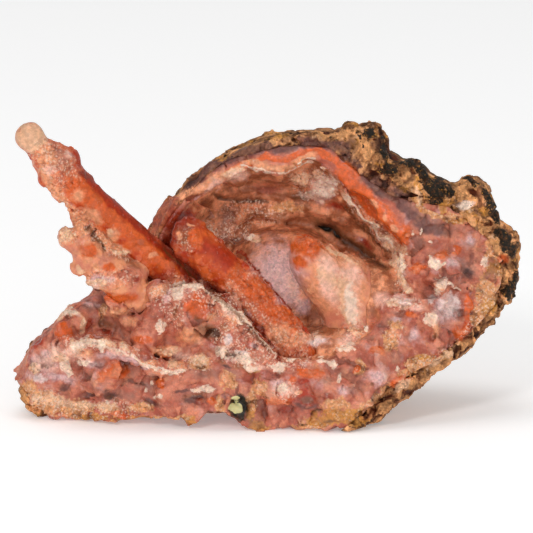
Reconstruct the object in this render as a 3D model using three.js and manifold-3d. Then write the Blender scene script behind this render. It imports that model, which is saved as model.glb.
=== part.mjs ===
// A loose piece of a chalcedony geode on its host rock, with stalactites in the open pocket.
// Millimetres, +Z up, +X to the right of the open side, which faces -Y. The origin lies in the
// broken underside, on which the piece stands.
import * as THREE from 'three';
import { mergeVertices } from 'three/addons/utils/BufferGeometryUtils.js';
import Module from 'manifold-3d';

const wasm = await Module();
wasm.setup();

// Clearance kept between pieces that meet.
const GAP = 0.3;

// Dome of the geode: front outline (x, z) around its centre, and its reach in front and behind.
const DOME = {
  centre: [8, 2, 28],
  outline: [
    [19, -5], [28.6, 4], [40, 12], [49, 20], [54.4, 28], [55, 35], [51.2, 42], [46.5, 48.4],
    [38, 50.8], [31, 54], [24, 59.4], [15, 62], [4, 61.6], [-4, 60], [-11.4, 56.6],
    [-18.6, 50.4], [-24.2, 42.8], [-27, 36], [-30, 24], [-34, 6], [-30, -8], [-6, -12],
  ],
  front: 46,
  back: 27,
  power: 2.4,
};

// Left chunk, the thick mass below the two outer stalactites.
const CHUNK = {
  centre: [-26, -3, 10],
  outline: [
    [-56, 6.2], [-54.5, 11], [-51.5, 16.5], [-47.5, 20], [-44, 24.5], [-38.5, 27], [-33, 31],
    [-27, 32.5], [-21, 31], [-13, 28], [-6, 22], [2, 14], [6, 4], [4, -8], [-20, -12], [-44, -8],
    [-52.5, 1.5],
  ],
  front: 18,
  back: 17,
  power: 2.5,
};

// Thickness of the host rock around the dome at (angle in degrees, mm), and behind it. Angle 0 is
// +X and 90 is up. Under the chunk the rock is one thickness.
const DOME_RIND = [[0, 3.2], [28, 6.2], [62, 7.5], [84, 2.6], [125, 2], [180, 2], [235, 4],
  [270, 4], [318, 4]];
const DOME_RIND_BEHIND = 4.5;
const CHUNK_RIND = [[0, 0], [178, -0.5], [200, 3], [270, 3.6], [350, 3.6]];
const CHUNK_RIND_BEHIND = 2.5;

// Lumps of host rock that stand out of the dome: x, y, z, radius.
const ROCK_KNOBS = [
  [17.8, 3, 58.4, 5.3], [21.8, 4, 58.6, 5.3], [27.5, 7, 50.8, 5], [32, 5, 50, 5],
  [44, 4, 46.6, 5.6], [37, 9, 45, 5.6], [50.4, 3, 37.2, 4.6], [49.6, 1, 29.4, 3.4],
  [28, 14, 49, 6], [10, 13, 53.5, 5.8], [43, 11, 35, 6.5],
];

// Broken front face: y of its foot along x, and of the rim of the dome along x. The face leans
// back from the foot to the rim between the two heights.
const FACE = {
  foot: [[-60, -5], [-46, -10.5], [-30, -15], [-10, -19.5], [6, -20.5], [20, -20], [35, -14],
    [46, -9], [58, -4]],
  rim: [[-60, 0], [-20, 0.5], [10, -1], [30, -1.5], [58, -1]],
  leanFrom: 9,
  leanTo: 50,
  columns: 16,
  rows: 11,
};

// Pocket: front outline (x, z) at its widest, its reach, and the folds across its back wall.
const POCKET = {
  centre: [5, 2, 33],
  outline: [
    [30.5, 33], [30, 38], [25.5, 43], [19.5, 49], [13.5, 54.6], [8, 56.4], [2, 54], [-6, 54],
    [-13, 49.5], [-19.5, 43.8], [-22.5, 38], [-22.5, 31], [-19, 26], [-11.5, 22], [-5, 15],
    [3, 12.5], [13, 14], [20, 17.5], [26, 24],
  ],
  front: 40,
  back: 17,
  power: 2.3,
  foldRelief: 0.9,
  foldSpacing: 9,
  foldBend: [[3, 14, 41]],
};

// Rounded swellings of the pocket's floor: centre and radii.
const POCKET_SWELLS = [
  { centre: [4, 15, 23.5], radii: [15, 12, 15] },
  { centre: [17, -2, 12], radii: [17, 14, 8] },
  { centre: [24.5, 2, 22], radii: [11, 11, 11.5] },
];

// Rows of fused lumps: points along the tops of the lumps, their radii, number and first seed. The
// crest is the broken wall in front of the pocket, the ledge is the crust across the left chunk.
const CREST = {
  path: [[-29, -10.5, 30.5], [-21.5, -14, 31.8], [-14, -15.4, 31.4], [-7.7, -16, 26.8],
    [-3, -16.4, 21.6], [3, -16.8, 15.6]],
  radii: [4.2, 2.8, 6],
  count: 7,
  seed: 43,
};
const LEDGE = {
  path: [[-44, -13.4, 20], [-33, -16.2, 20.2], [-25, -17.6, 16.7], [-17, -18.6, 14.6]],
  radii: [4.4, 2.4, 2.2],
  count: 5,
  seed: 51,
};
const ROW_ROUGHNESS = 0.3;

// Rounded lumps of chalcedony on the left chunk and the broken face: x, y, z, radius.
const AGATE_LUMPS = [
  [-46, -8, 18, 4.2], [-39.5, -8, 22, 4.4], [-32, -12, 28.6, 3.8], [-26, -14.6, 21, 3.8],
  [-15, -16.3, 24.6, 4], [-36, -13.4, 12, 5.5], [-20, -16.2, 8.6, 5], [33, -9.6, 24, 4.6],
  [38, -8, 33, 4.2], [27, -13, 15, 4.6], [-49, -7.6, 9.4, 4.4], [-40, -10.8, 29, 3],
];
const LUMP_FLATNESS = 0.7;
const LUMP_ROUGHNESS = 0.2;
const LUMP_SEED = 31;

// Stalactites: axis from root to tip, radius at (share of the length, mm), and knobs that are
// fused to them as x, y, z, radius.
const STALACTITES = {
  stalactite_long: [{
    axis: [[-9.5, -2, 20], [-18.3, -5, 29.4], [-26, -7, 36.4], [-36.8, -9.5, 47.3],
      [-41.8, -10.6, 52.2], [-45.2, -11.4, 56.2], [-48.7, -12.1, 60.2], [-52, -12.8, 64.2],
      [-53.9, -13.2, 66.9]],
    radius: [[0, 3.6], [0.1, 4.3], [0.35, 4.1], [0.6, 4], [0.69, 4], [0.76, 4.7], [0.82, 4.3],
      [0.88, 2.7], [0.91, 2.6], [0.95, 3.3], [0.985, 2.4], [1, 0]],
    knobs: [],
  }],
  stalactite_small: [{
    axis: [[-27, -9.5, 26.5], [-32, -11.2, 31.2], [-38, -13, 37.2], [-41.5, -14, 40.6],
      [-44.8, -14.8, 43.3]],
    radius: [[0, 3.8], [0.3, 4.3], [0.6, 3.9], [0.8, 2.8], [0.93, 2.4], [1, 0]],
    knobs: [[-41.6, -13.6, 35.4, 2], [-40.4, -12.8, 42.8, 2.3], [-37, -13.8, 33.4, 2.9]],
  }],
  stalactite_middle: [{
    axis: [[8, -8.5, 13], [2.8, -8.7, 19.6], [-5.3, -8.4, 28.9], [-14.2, -9, 37.8],
      [-19.7, -9.6, 43.3]],
    radius: [[0, 4.4], [0.2, 4.8], [0.5, 4.8], [0.8, 4.5], [0.93, 4.2], [0.985, 3], [1, 0]],
    knobs: [],
  }],
  stalactite_stub: [{
    axis: [[21.5, -1.5, 16.5], [17.4, -2.4, 22], [13.2, -4.2, 29.6], [8.8, -5.8, 35.4],
      [5.6, -6.6, 37.9]],
    radius: [[0, 4.4], [0.3, 5.2], [0.65, 5.6], [0.9, 4.6], [0.985, 3.2], [1, 0]],
    knobs: [[16.6, -2.5, 29.5, 4.2]],
  }, {
    axis: [[21.8, -5, 15.5], [20.6, -5.2, 20.4], [19.4, -4, 27], [17.6, -3, 33.6],
      [16.8, -2.6, 36.8]],
    radius: [[0, 2.4], [0.2, 3.4], [0.5, 4.3], [0.85, 3.8], [1, 0]],
    knobs: [],
  }],
};
const ROD_RELIEF = [[0.35, 3]];
const ROD_SIDES = 8;
const ROD_STEPS = 14;
const ROD_CROWDING = 1.25;
const KNOB_ROUGHNESS = 0.15;
const ROD_SEED = 90;

// Unevenness of the surfaces, coarse to fine: height in mm, size of its lumps in mm and seed.
const OUTSIDE_RELIEF = [[1.5, 8, 21], [0.8, 4, 22]];
const RIND_RELIEF = [[0.5, 6, 23]];
const FACE_RELIEF = [[1.3, 9, 11], [0.65, 4.5, 12]];
const POCKET_RELIEF = [[0.6, 7, 42]];
const ROCK_KNOB_ROUGHNESS = 0.25;
const ROCK_KNOB_SEED = 50;
const SWELL_ROUGHNESS = 0.05;
const SWELL_SEED = 43;

// How much further than the outside of the chunk its chalcedony reaches to the front, before the
// front breaks off, and the blocks that are cut away in front of the face and below the ground.
const CHUNK_REACH = 4;
const FRONT_BLOCK = { width: 140, depth: 60, height: 96, base: -12 };
const UNDER_BLOCK = { side: 200, height: 60 };

// Colour and roughness of each piece.
const LOOKS = {
  host_rock: [0xa0713f, 0.9],
  chalcedony_body: [0xc06a58, 0.45],
  stalactite_long: [0xcf6a3f, 0.5],
  stalactite_small: [0xd58a6a, 0.55],
  stalactite_middle: [0xc94f26, 0.5],
  stalactite_stub: [0xe4b79c, 0.55],
};

const { lerp, smoothstep, radToDeg, euclideanModulo } = THREE.MathUtils;

// Repeatable random number from -1 to 1 for a corner of the noise lattice.
function cornerValue(i, j, k, seed) {
  let h = Math.imul(i, 374761393) ^ Math.imul(j, 668265263) ^ Math.imul(k, 2147483647);
  h = Math.imul(h ^ Math.imul(seed, 974634777) ^ (h >>> 13), 1274126177);
  return ((h ^ (h >>> 16)) >>> 0) / 2147483648 - 1;
}

// Smooth noise from -1 to 1 with lumps of the given size.
function noise([x, y, z], size, seed) {
  const at = [x / size, y / size, z / size];
  const cell = at.map(Math.floor);
  const part = at.map((value, axis) => smoothstep(value - cell[axis], 0, 1));
  let sum = 0;
  for (let n = 0; n < 8; n += 1) {
    const step = [n & 1, (n >> 1) & 1, (n >> 2) & 1];
    const share = step.reduce((product, one, axis) => product * (one ? part[axis] : 1 - part[axis]), 1);
    sum += share * cornerValue(cell[0] + step[0], cell[1] + step[1], cell[2] + step[2], seed);
  }
  return sum;
}

// Height of several layers of noise at a point.
function unevenness(point, layers) {
  return layers.reduce((sum, [height, size, seed]) => sum + height * noise(point, size, seed), 0);
}

// Value at x on a line of (x, value) points, eased between them.
function along(points, x) {
  const next = points.findIndex(([end]) => x <= end);
  if (next === 0) return points[0][1];
  if (next < 0) return points[points.length - 1][1];
  const [[x0, y0], [x1, y1]] = [points[next - 1], points[next]];
  return lerp(y0, y1, smoothstep(x, x0, x1));
}

// Value at an angle on a closed ring of (angle, value) points that starts at 0 degrees.
function around(ring, degrees) {
  return along([...ring, [360, ring[0][1]]], euclideanModulo(degrees, 360));
}

// Distance from the centre to a closed outline at each whole degree.
function outlineRadii(outline, centre) {
  const points = outline.map(([x, z]) => new THREE.Vector3(x - centre[0], 0, z - centre[2]));
  const curve = new THREE.CatmullRomCurve3(points, true, 'centripetal');
  const samples = curve.getPoints(1440);
  return Array.from({ length: 361 }, (_, degrees) => {
    const off = (p) => Math.abs(euclideanModulo(radToDeg(Math.atan2(p.z, p.x)) - degrees + 180, 360) - 180);
    return samples.reduce((best, p) => (off(p) < off(best) ? p : best)).length();
  });
}

// Closed geometry to exact solid.
function solidOf(geometry) {
  const bare = geometry.clone();
  bare.deleteAttribute('normal');
  bare.deleteAttribute('uv');
  const merged = mergeVertices(bare, 1e-3);
  const corners = merged.index.array;
  const triVerts = [];
  for (let i = 0; i < corners.length; i += 3) {
    const [a, b, c] = corners.slice(i, i + 3);
    if (a !== b && b !== c && c !== a) triVerts.push(a, b, c);
  }
  return new wasm.Manifold(new wasm.Mesh({
    numProp: 3,
    vertProperties: Float32Array.from(merged.attributes.position.array),
    triVerts: Uint32Array.from(triVerts),
  }));
}

// Exact solid back to geometry.
function geometryOf(solid) {
  const { vertProperties, triVerts } = solid.getMesh();
  const geometry = new THREE.BufferGeometry();
  geometry.setAttribute('position', new THREE.BufferAttribute(Float32Array.from(vertProperties), 3));
  geometry.setIndex(new THREE.BufferAttribute(Uint32Array.from(triVerts), 1));
  geometry.computeVertexNormals();
  return geometry;
}

// Moves every vertex of a geometry to place([x, y, z]).
function displaced(geometry, place) {
  const points = geometry.attributes.position;
  for (let i = 0; i < points.count; i += 1) {
    points.setXYZ(i, ...place([points.getX(i), points.getY(i), points.getZ(i)]));
  }
  return geometry;
}

// Rounded mass with a given front outline and depth. inset(degrees) and insetBehind pull it in,
// and relief(point) moves the surface outwards.
function mass({ centre, outline, front, back, power }, { detail, inset, insetBehind, relief }) {
  const radii = outlineRadii(outline, centre);
  return solidOf(displaced(new THREE.IcosahedronGeometry(1, detail), (dir) => {
    const degrees = euclideanModulo(radToDeg(Math.atan2(dir[2], dir[0])), 360);
    const whole = Math.floor(degrees);
    const radius = lerp(radii[whole], radii[whole + 1], degrees - whole) - inset(degrees);
    const side = Math.hypot(dir[0], dir[2]) / radius;
    const deep = Math.abs(dir[1]) / (dir[1] > 0 ? back - insetBehind : front);
    const reach = 1 / (side ** power + deep ** power) ** (1 / power);
    const push = relief(dir.map((value, axis) => centre[axis] + reach * value));
    return dir.map((value, axis) => centre[axis] + (reach + push) * value);
  }));
}

// Rounded stone with a slightly uneven surface.
function lump(centre, radii, detail, rough, seed) {
  return solidOf(displaced(new THREE.IcosahedronGeometry(1, detail), (dir) => {
    const grow = 1 + rough * noise(dir.map((value, axis) => 1.7 * value + centre[axis]), 1, seed);
    return dir.map((value, axis) => centre[axis] + radii[axis] * value * grow);
  }));
}

// Rod: a turned profile bent onto its axis, grown by extra all round and at both ends.
function rod({ axis, radius, knobs }, extra, seed) {
  const curve = new THREE.CatmullRomCurve3(axis.map((point) => new THREE.Vector3(...point)));
  const profile = [new THREE.Vector2(0, 0)];
  for (let i = 0; i <= ROD_STEPS; i += 1) {
    const share = 1 - (1 - i / ROD_STEPS) ** ROD_CROWDING;
    profile.push(new THREE.Vector2(along(radius, share), share));
  }
  const bent = displaced(new THREE.LatheGeometry(profile, ROD_SIDES), ([x, share, z]) => {
    const point = curve.getPointAt(share);
    const way = curve.getTangentAt(share);
    const side = new THREE.Vector3(0, 1, 0).cross(way).normalize();
    const up = new THREE.Vector3().crossVectors(way, side);
    const far = Math.hypot(x, z);
    const layers = ROD_RELIEF.map(([height, size]) => [height, size, seed]);
    const uneven = extra + unevenness([point.x + x, point.y + z, point.z], layers);
    const grow = far > 0 ? (far + uneven) / far : 1;
    const beyond = extra * (share === 0 ? -1 : Number(share === 1));
    return point.addScaledVector(side, z * grow).addScaledVector(up, x * grow)
      .addScaledVector(way, beyond).toArray();
  });
  return knobs.reduce((solid, [x, y, z, r], i) => (
    solid.add(lump([x, y, z], [r + extra, r + extra, r + extra], 1, KNOB_ROUGHNESS, seed + i))
  ), solidOf(bent));
}

function stalactite(name, extra) {
  const rods = STALACTITES[name].map((shape, i) => rod(shape, extra, ROD_SEED + i));
  return rods.reduce((solid, next) => solid.add(next));
}

// y of the broken front face at (x, z).
function faceY(x, z) {
  const lean = smoothstep(z, FACE.leanFrom, FACE.leanTo);
  return lerp(along(FACE.foot, x), along(FACE.rim, x), lean) + unevenness([x, 0, z], FACE_RELIEF);
}

// Everything in front of the broken face.
function frontWaste() {
  const { width, depth, height, base } = FRONT_BLOCK;
  const block = new THREE.BoxGeometry(width, depth, height, FACE.columns, 1, FACE.rows);
  return solidOf(displaced(block, ([x, y, z]) => {
    const level = z + height / 2 + base;
    return [x, y > 0 ? faceY(x, level) : -depth, level];
  }));
}

// Everything below the ground.
function underWaste() {
  const { side, height } = UNDER_BLOCK;
  return solidOf(new THREE.BoxGeometry(side, side, height).translate(0, 0, -height / 2));
}

// Outside of the rock, before it broke.
function outsideMass() {
  const relief = (point) => unevenness(point, OUTSIDE_RELIEF);
  const options = { inset: () => 0, insetBehind: 0, relief };
  const dome = mass(DOME, { ...options, detail: 8 });
  const chunk = mass(CHUNK, { ...options, detail: 6 });
  return ROCK_KNOBS.reduce((solid, [x, y, z, r], i) => (
    solid.add(lump([x, y, z], [r, r, r], 1, ROCK_KNOB_ROUGHNESS, ROCK_KNOB_SEED + i))
  ), dome.add(chunk));
}

// Where the chalcedony begins under the rock, grown by extra.
function insideMass(extra) {
  const relief = (point) => extra + unevenness(point, RIND_RELIEF);
  const dome = mass(DOME, {
    detail: 5, inset: (degrees) => around(DOME_RIND, degrees), insetBehind: DOME_RIND_BEHIND, relief,
  });
  const chunk = mass({ ...CHUNK, front: CHUNK.front + CHUNK_REACH }, {
    detail: 3, inset: (degrees) => around(CHUNK_RIND, degrees), insetBehind: CHUNK_RIND_BEHIND, relief,
  });
  return dome.add(chunk);
}

// Row of fused lumps, grown by extra.
function lumpRow({ path, radii, count, seed }, extra) {
  const line = new THREE.CatmullRomCurve3(path.map((point) => new THREE.Vector3(...point)));
  const lumps = Array.from({ length: count }, (_, i) => {
    const [x, y, top] = line.getPointAt(i / (count - 1)).toArray();
    return lump([x, y, top - radii[2]], radii.map((r) => r + extra), 1, ROW_ROUGHNESS, seed + i);
  });
  return lumps.reduce((solid, next) => solid.add(next));
}

// What the chalcedony has proud of its broken face: ledge and lumps, grown by extra.
function proudParts(extra) {
  return AGATE_LUMPS.reduce((solid, [x, y, z, r], i) => {
    const radii = [r, LUMP_FLATNESS * r, r].map((radius) => radius + extra);
    return solid.add(lump([x, y, z], radii, 1, LUMP_ROUGHNESS, LUMP_SEED + i));
  }, lumpRow(LEDGE, extra));
}

// Hollow of the pocket with its folds, less the swellings of its floor.
function pocket() {
  const relief = (point) => {
    const level = point[2] + unevenness(point, POCKET.foldBend);
    const wave = Math.sin(level * 2 * Math.PI / POCKET.foldSpacing);
    return (point[1] > 0 ? POCKET.foldRelief * wave : 0) + unevenness(point, POCKET_RELIEF);
  };
  const hollow = mass(POCKET, { detail: 6, inset: () => 0, insetBehind: 0, relief });
  return POCKET_SWELLS.reduce((solid, { centre, radii }, i) => (
    solid.subtract(lump(centre, radii, 3, SWELL_ROUGHNESS, SWELL_SEED + i))
  ), hollow);
}

// Drops the chips that a cut leaves loose.
function largest(solid) {
  return solid.decompose().reduce((best, next) => (next.volume() > best.volume() ? next : best));
}

const names = Object.keys(STALACTITES);
const waste = frontWaste().add(underWaste());
const hollow = pocket();
const broken = outsideMass().subtract(waste);
let body = broken.intersect(insideMass(0)).add(proudParts(0)).subtract(hollow)
  .add(lumpRow(CREST, 0)).subtract(underWaste());
let rock = broken.subtract(insideMass(GAP)).subtract(proudParts(GAP)).subtract(hollow)
  .subtract(lumpRow(CREST, GAP));
for (const name of names) {
  const socket = stalactite(name, GAP);
  body = body.subtract(socket);
  rock = rock.subtract(socket);
}

const group = new THREE.Group();
const solids = [['host_rock', largest(rock)], ['chalcedony_body', largest(body)],
  ...names.map((name) => [name, stalactite(name, 0)])];
for (const [name, solid] of solids) {
  const [color, roughness] = LOOKS[name];
  const material = new THREE.MeshStandardMaterial({ color, roughness, metalness: 0 });
  const mesh = new THREE.Mesh(geometryOf(solid), material);
  mesh.name = name;
  group.add(mesh);
}

export default group;
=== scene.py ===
"""A loose piece of a chalcedony geode with stalactites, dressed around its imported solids.

Every solid of the frame becomes a distance field. The fields are joined, smoothed and given the
relief of the real surfaces, and each piece is meshed from its own share of the joined stone.
Sizes in the tables are millimetres, and places in the picture are pixels of a 533 pixel picture.
"""

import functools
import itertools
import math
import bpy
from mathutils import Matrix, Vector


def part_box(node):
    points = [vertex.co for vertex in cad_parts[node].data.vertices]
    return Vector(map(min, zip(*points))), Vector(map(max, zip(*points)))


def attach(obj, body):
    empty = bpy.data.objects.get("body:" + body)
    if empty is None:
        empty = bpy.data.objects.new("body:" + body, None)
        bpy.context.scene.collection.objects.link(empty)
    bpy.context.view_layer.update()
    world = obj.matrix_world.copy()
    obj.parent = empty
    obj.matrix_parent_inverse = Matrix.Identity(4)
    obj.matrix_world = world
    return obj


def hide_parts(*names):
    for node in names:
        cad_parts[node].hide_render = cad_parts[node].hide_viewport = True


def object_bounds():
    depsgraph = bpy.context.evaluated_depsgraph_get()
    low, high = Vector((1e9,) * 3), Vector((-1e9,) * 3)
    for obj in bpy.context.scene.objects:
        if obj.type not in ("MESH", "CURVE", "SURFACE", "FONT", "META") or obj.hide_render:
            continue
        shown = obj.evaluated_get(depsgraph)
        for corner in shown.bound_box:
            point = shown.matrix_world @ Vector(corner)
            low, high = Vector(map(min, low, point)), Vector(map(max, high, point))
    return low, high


bl_info = {
    "name": "Chalcedony stalactite",
    "version": (1, 0, 0),
    "blender": (4, 5, 0),
    "location": "3D View > Sidebar > Stone",
    "description": "Builds the geode shell, its host rock and its stalactites around the frame",
    "category": "Add Mesh",
}

import bpy
import numpy as np
import openvdb as vdb
from mathutils import Vector

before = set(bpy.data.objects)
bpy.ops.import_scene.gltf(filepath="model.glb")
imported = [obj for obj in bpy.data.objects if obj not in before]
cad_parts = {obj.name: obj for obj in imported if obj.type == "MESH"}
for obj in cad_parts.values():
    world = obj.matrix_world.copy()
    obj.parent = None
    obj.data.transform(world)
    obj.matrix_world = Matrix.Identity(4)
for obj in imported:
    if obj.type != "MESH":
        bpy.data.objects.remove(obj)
CAD_BOX = [list(corner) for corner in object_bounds()]

MM = 0.001

# The picture: millimetres per pixel, its width, the column of x = 0, the row and height in mm of
# the stone's foot, and the tilt of the view.
PIXEL = 0.22
PICTURE_PIXELS = 533
CENTRE_COLUMN = 268
FOOT_ROW = 430
FOOT_HEIGHT = -4.16
TILT = math.radians(12)
UP_IN_PICTURE = np.array([0, math.sin(TILT), math.cos(TILT)], np.float32)
INTO_PICTURE = np.array([0, math.cos(TILT), -math.sin(TILT)], np.float32)

# Depth of the first surface in the picture: pixels from one look to the next, nearest and farthest
# depth and step in mm, and the depth where nothing is seen.
DEPTH_STRIDE = 2
DEPTHS = (-32, 40, 0.5)
NOTHING_SEEN = 60

# Noise: cells on a side of its lattice, steps from cell to cell in the flat lattice, a start that
# keeps cell numbers above zero, and how far a grain's middle strays, in cells.
LATTICE = 64
LATTICE_STEPS = np.array([LATTICE ** 2, LATTICE, 1], np.int32)
LATTICE_START = 500
GRAIN_STRAY = 0.4

# Seeds that several noises share or count on from.
TURN_SEED = 1000
WANDER_SEED = 70
ELSEWHERE_SEED = 80
FACET_SEED = 121

# Sizes in mm of the broken facets whose tones differ.
SHELL_FACET = 2.2
ROCK_FACET = 2.4
ROD_FACET = 1.4

# Distance fields: cell, margin round the solids and reach of the distances in mm, how far inside
# the last cell a field is looked up, in cells, and the reach of a blur in its own widths.
FIELD_CELL = 0.4
FIELD_MARGIN = 3.0
FIELD_REACH = 3.2
GRID_EDGE = 1.01
BLUR_REACH = 2.6

# Fillets where solids join, how far their edges are smoothed, and what a rod gets back for it.
JOIN = 1.2
STUB_JOIN = 3.0
SMOOTH = 0.75
ROD_SMOOTH = 1.1
ROD_REGAIN = 0.15

# Meshes: reach of the relief, margin round a solid, overlap of two pieces, the depth from which a
# corner is hidden, and the most triangles of a piece.
BAND = 1.5
PIECE_MARGIN = 2.4
OVERLAP = 0.05
HIDDEN_DEPTH = -0.35
MOST_TRIANGLES = 195000

# Collapsing faces: weight of a corner that shows, where a hidden one has 1, how strongly weights
# count, and the triangles that each hidden corner saves.
SHOWN_WEIGHT = 0.02
WEIGHT_STRENGTH = 100
SAVED_TRIANGLES = 1.8

# Chips off the base: their noise, how far back they reach for their height, and where they end.
CHIP_NOISE = 0.6
CHIP_REACH = 2.5
CHIP_END = (2, 6)

# Paint is 1 in the middle of a patch and falls to NO_PAINT at PAINT_REACH half widths. Noise moves
# it, as (pixels, size in mm). Behind what shows it gives way to noise over SHOWN_DEPTHS in mm.
PAINT_REACH = 3
NO_PAINT = 1 - PAINT_REACH
WANDER = ((3.2, 2.6), (1.6, 1.0))
SHOWN_DEPTHS = (1.5, 4.0)
ELSEWHERE_STRENGTH = 1.6
SMOOTH_SHARE = 0.85

RODS = ("stalactite_long", "stalactite_small", "stalactite_middle", "stalactite_stub")

# The broken front face, as in the solids: y of its foot along x, y of the rim, and the heights
# between which it leans back.
FACE_FOOT = ((-60, -5), (-46, -10.5), (-30, -15), (-10, -19.5), (6, -20.5), (20, -20), (35, -14),
             (46, -9), (58, -4))
FACE_RIM = -0.6
FACE_LEAN = (9, 50)

# Pocket as seen from the front: centre and radii in x and z, and how softly it begins at its edge
# and behind the front face.
POCKET_CENTRE = (5, 34)
POCKET_RADII = (27, 23)
POCKET_EDGE = (-0.02, 0.06)
POCKET_START = (0.8, 3.0)

# Balls on the stalactites: (column, row, radius and shift towards the viewer, in pixels).
ROD_LOBES = {
    "stalactite_long": (
        (32.3, 138, 13.6, 0), (44, 151, 11, 0), (52, 158, 13, 0), (62, 161, 15, 0),
        (71, 158, 9, 0), (75, 163, 7, 0), (54, 172, 13, 1), (50, 177, 8, 2), (64, 176, 14, 1),
        (47, 181, 5, 2), (57, 189, 6, 3), (61, 196, 5, 2), (67, 189, 10, 2), (77, 217, 6, 3),
        (82, 224, 7, 3), (91, 179, 3, -2),
    ),
    "stalactite_small": (
        (67, 236, 8, 2), (72, 243, 7, 2), (84, 229, 8, 2), (88, 248, 13, 3), (100, 266, 11, 5),
        (80, 269, 6, 4), (100, 276, 9, 5), (91, 245, 9, -6), (102, 254, 11, -5),
        (113, 261, 12, -5), (122, 264, 9, -3), (131, 269, 9, -3), (140, 273, 9, -4),
        (97, 239, 8, -8), (104, 246, 9, -8), (89, 233, 6, -7),
    ),
    "stalactite_middle": (
        (185, 237, 11, 1), (195, 231, 10, 1), (186, 227, 6, 4), (181, 245, 7, 3),
        (176, 233, 3.5, 5), (179, 225, 3.5, 5), (187, 220, 3.5, 4), (175, 243, 3.5, 5),
        (180, 253, 4, 5), (196, 220, 3, 2), (203, 225, 3, 1), (186, 260, 3, 5),
    ),
    "stalactite_stub": (
        (302, 250, 12, 1), (298, 243, 7, 2), (326, 256, 12, -1), (340, 266, 10, -2),
    ),
}

# Balls in the shell and the rock: (column, row, radius and how far it stands out, in pixels).
MASS_LOBES = (
    (121, 299, 17, 12), (145, 338, 12, 5), (65, 334, 14, 5), (92, 340, 7, 3), (82, 324, 8, 4),
    (74, 344, 9, 4), (160, 290, 12, 5), (161, 325, 7, 4), (188, 338, 18, 6), (178, 288, 8, 4),
    (190, 287, 9, 4), (202, 290, 8, 3), (216, 303, 9, 4), (228, 311, 9, 4), (240, 320, 9, 4),
    (250, 332, 8, 4), (258, 342, 8, 3), (267, 351, 7, 3), (285, 388, 10, 4), (372, 374, 14, 4),
    (392, 308, 16, 5), (371, 322, 16, 4), (354, 338, 13, 4), (433, 318, 8, 4), (441, 284, 7, 3),
    (403, 302, 10, 4), (416, 301, 8, 3), (393, 334, 10, 4), (259, 426, 10, 4), (142, 408, 9, 3),
    (313, 184, 10, 4), (328, 188, 12, 4), (303, 176, 9, 3), (318, 172, 7, 3), (104, 343, 8, 4),
    (116, 346, 8, 4), (128, 352, 8, 4), (140, 359, 8, 4), (152, 365, 7, 3), (243, 357, 9, 3),
    (226, 351, 7, 3), (115, 371, 14, 4), (163, 384, 9, 3), (307, 371, 12, 4), (462, 325, 12, 4),
    (371, 130, 10, 3), (352, 131, 8, 3), (389, 168, 10, 4), (415, 170, 10, 5), (433, 188, 10, 5),
    (448, 196, 8, 4), (470, 194, 12, 4), (485, 206, 9, 4), (506, 247, 9, 4), (488, 226, 8, 3),
    (421, 200, 7, 3), (444, 210, 7, 3), (404, 178, 8, 3), (366, 156, 9, 3), (463, 209, 9, 3),
    (486, 300, 12, 4), (474, 322, 10, 3), (416, 358, 9, 3), (40, 398, 8, 3), (60, 408, 8, 3),
    (240, 211, 10, 3), (256, 210, 9, 3), (285, 208, 10, 3), (222, 216, 8, 3), (251, 239, 7, 4),
    (261, 228, 7, 3), (230, 232, 5, 3), (397, 253, 9, 3), (400, 266, 7, 3), (238, 177, 10, 3),
    (340, 384, 9, 3), (332, 404, 9, 3), (355, 370, 8, 3), (230, 380, 9, 3), (258, 388, 8, 3),
    (345, 195, 8, 8), (353, 205, 8, 8), (362, 215, 8, 8), (371, 225, 8, 8), (381, 236, 8, 8),
    (391, 247, 8, 7), (396, 258, 8, 6),
)
# Clear flap at the left end of the pocket: (column, row, radius in pixels, depth in mm).
FLAP = (
    (170, 219, 15, -4.5), (185, 217, 16, -3.5), (201, 220, 14, -1.5), (168, 236, 14, -4.5),
    (184, 237, 16, -4.0), (201, 237, 14, -2.0),
)
# Hollows: (column, row, radius and depth in pixels).
MASS_HOLLOWS = (
    (203, 312, 17, 8), (210, 335, 13, 5), (240, 406, 10, 5), (432, 335, 3, 2), (328, 232, 6, 3),
    (102, 327, 12, 5), (250, 377, 7, 4), (383, 388, 8, 4), (362, 416, 5, 3), (175, 345, 9, 3),
)

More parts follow.
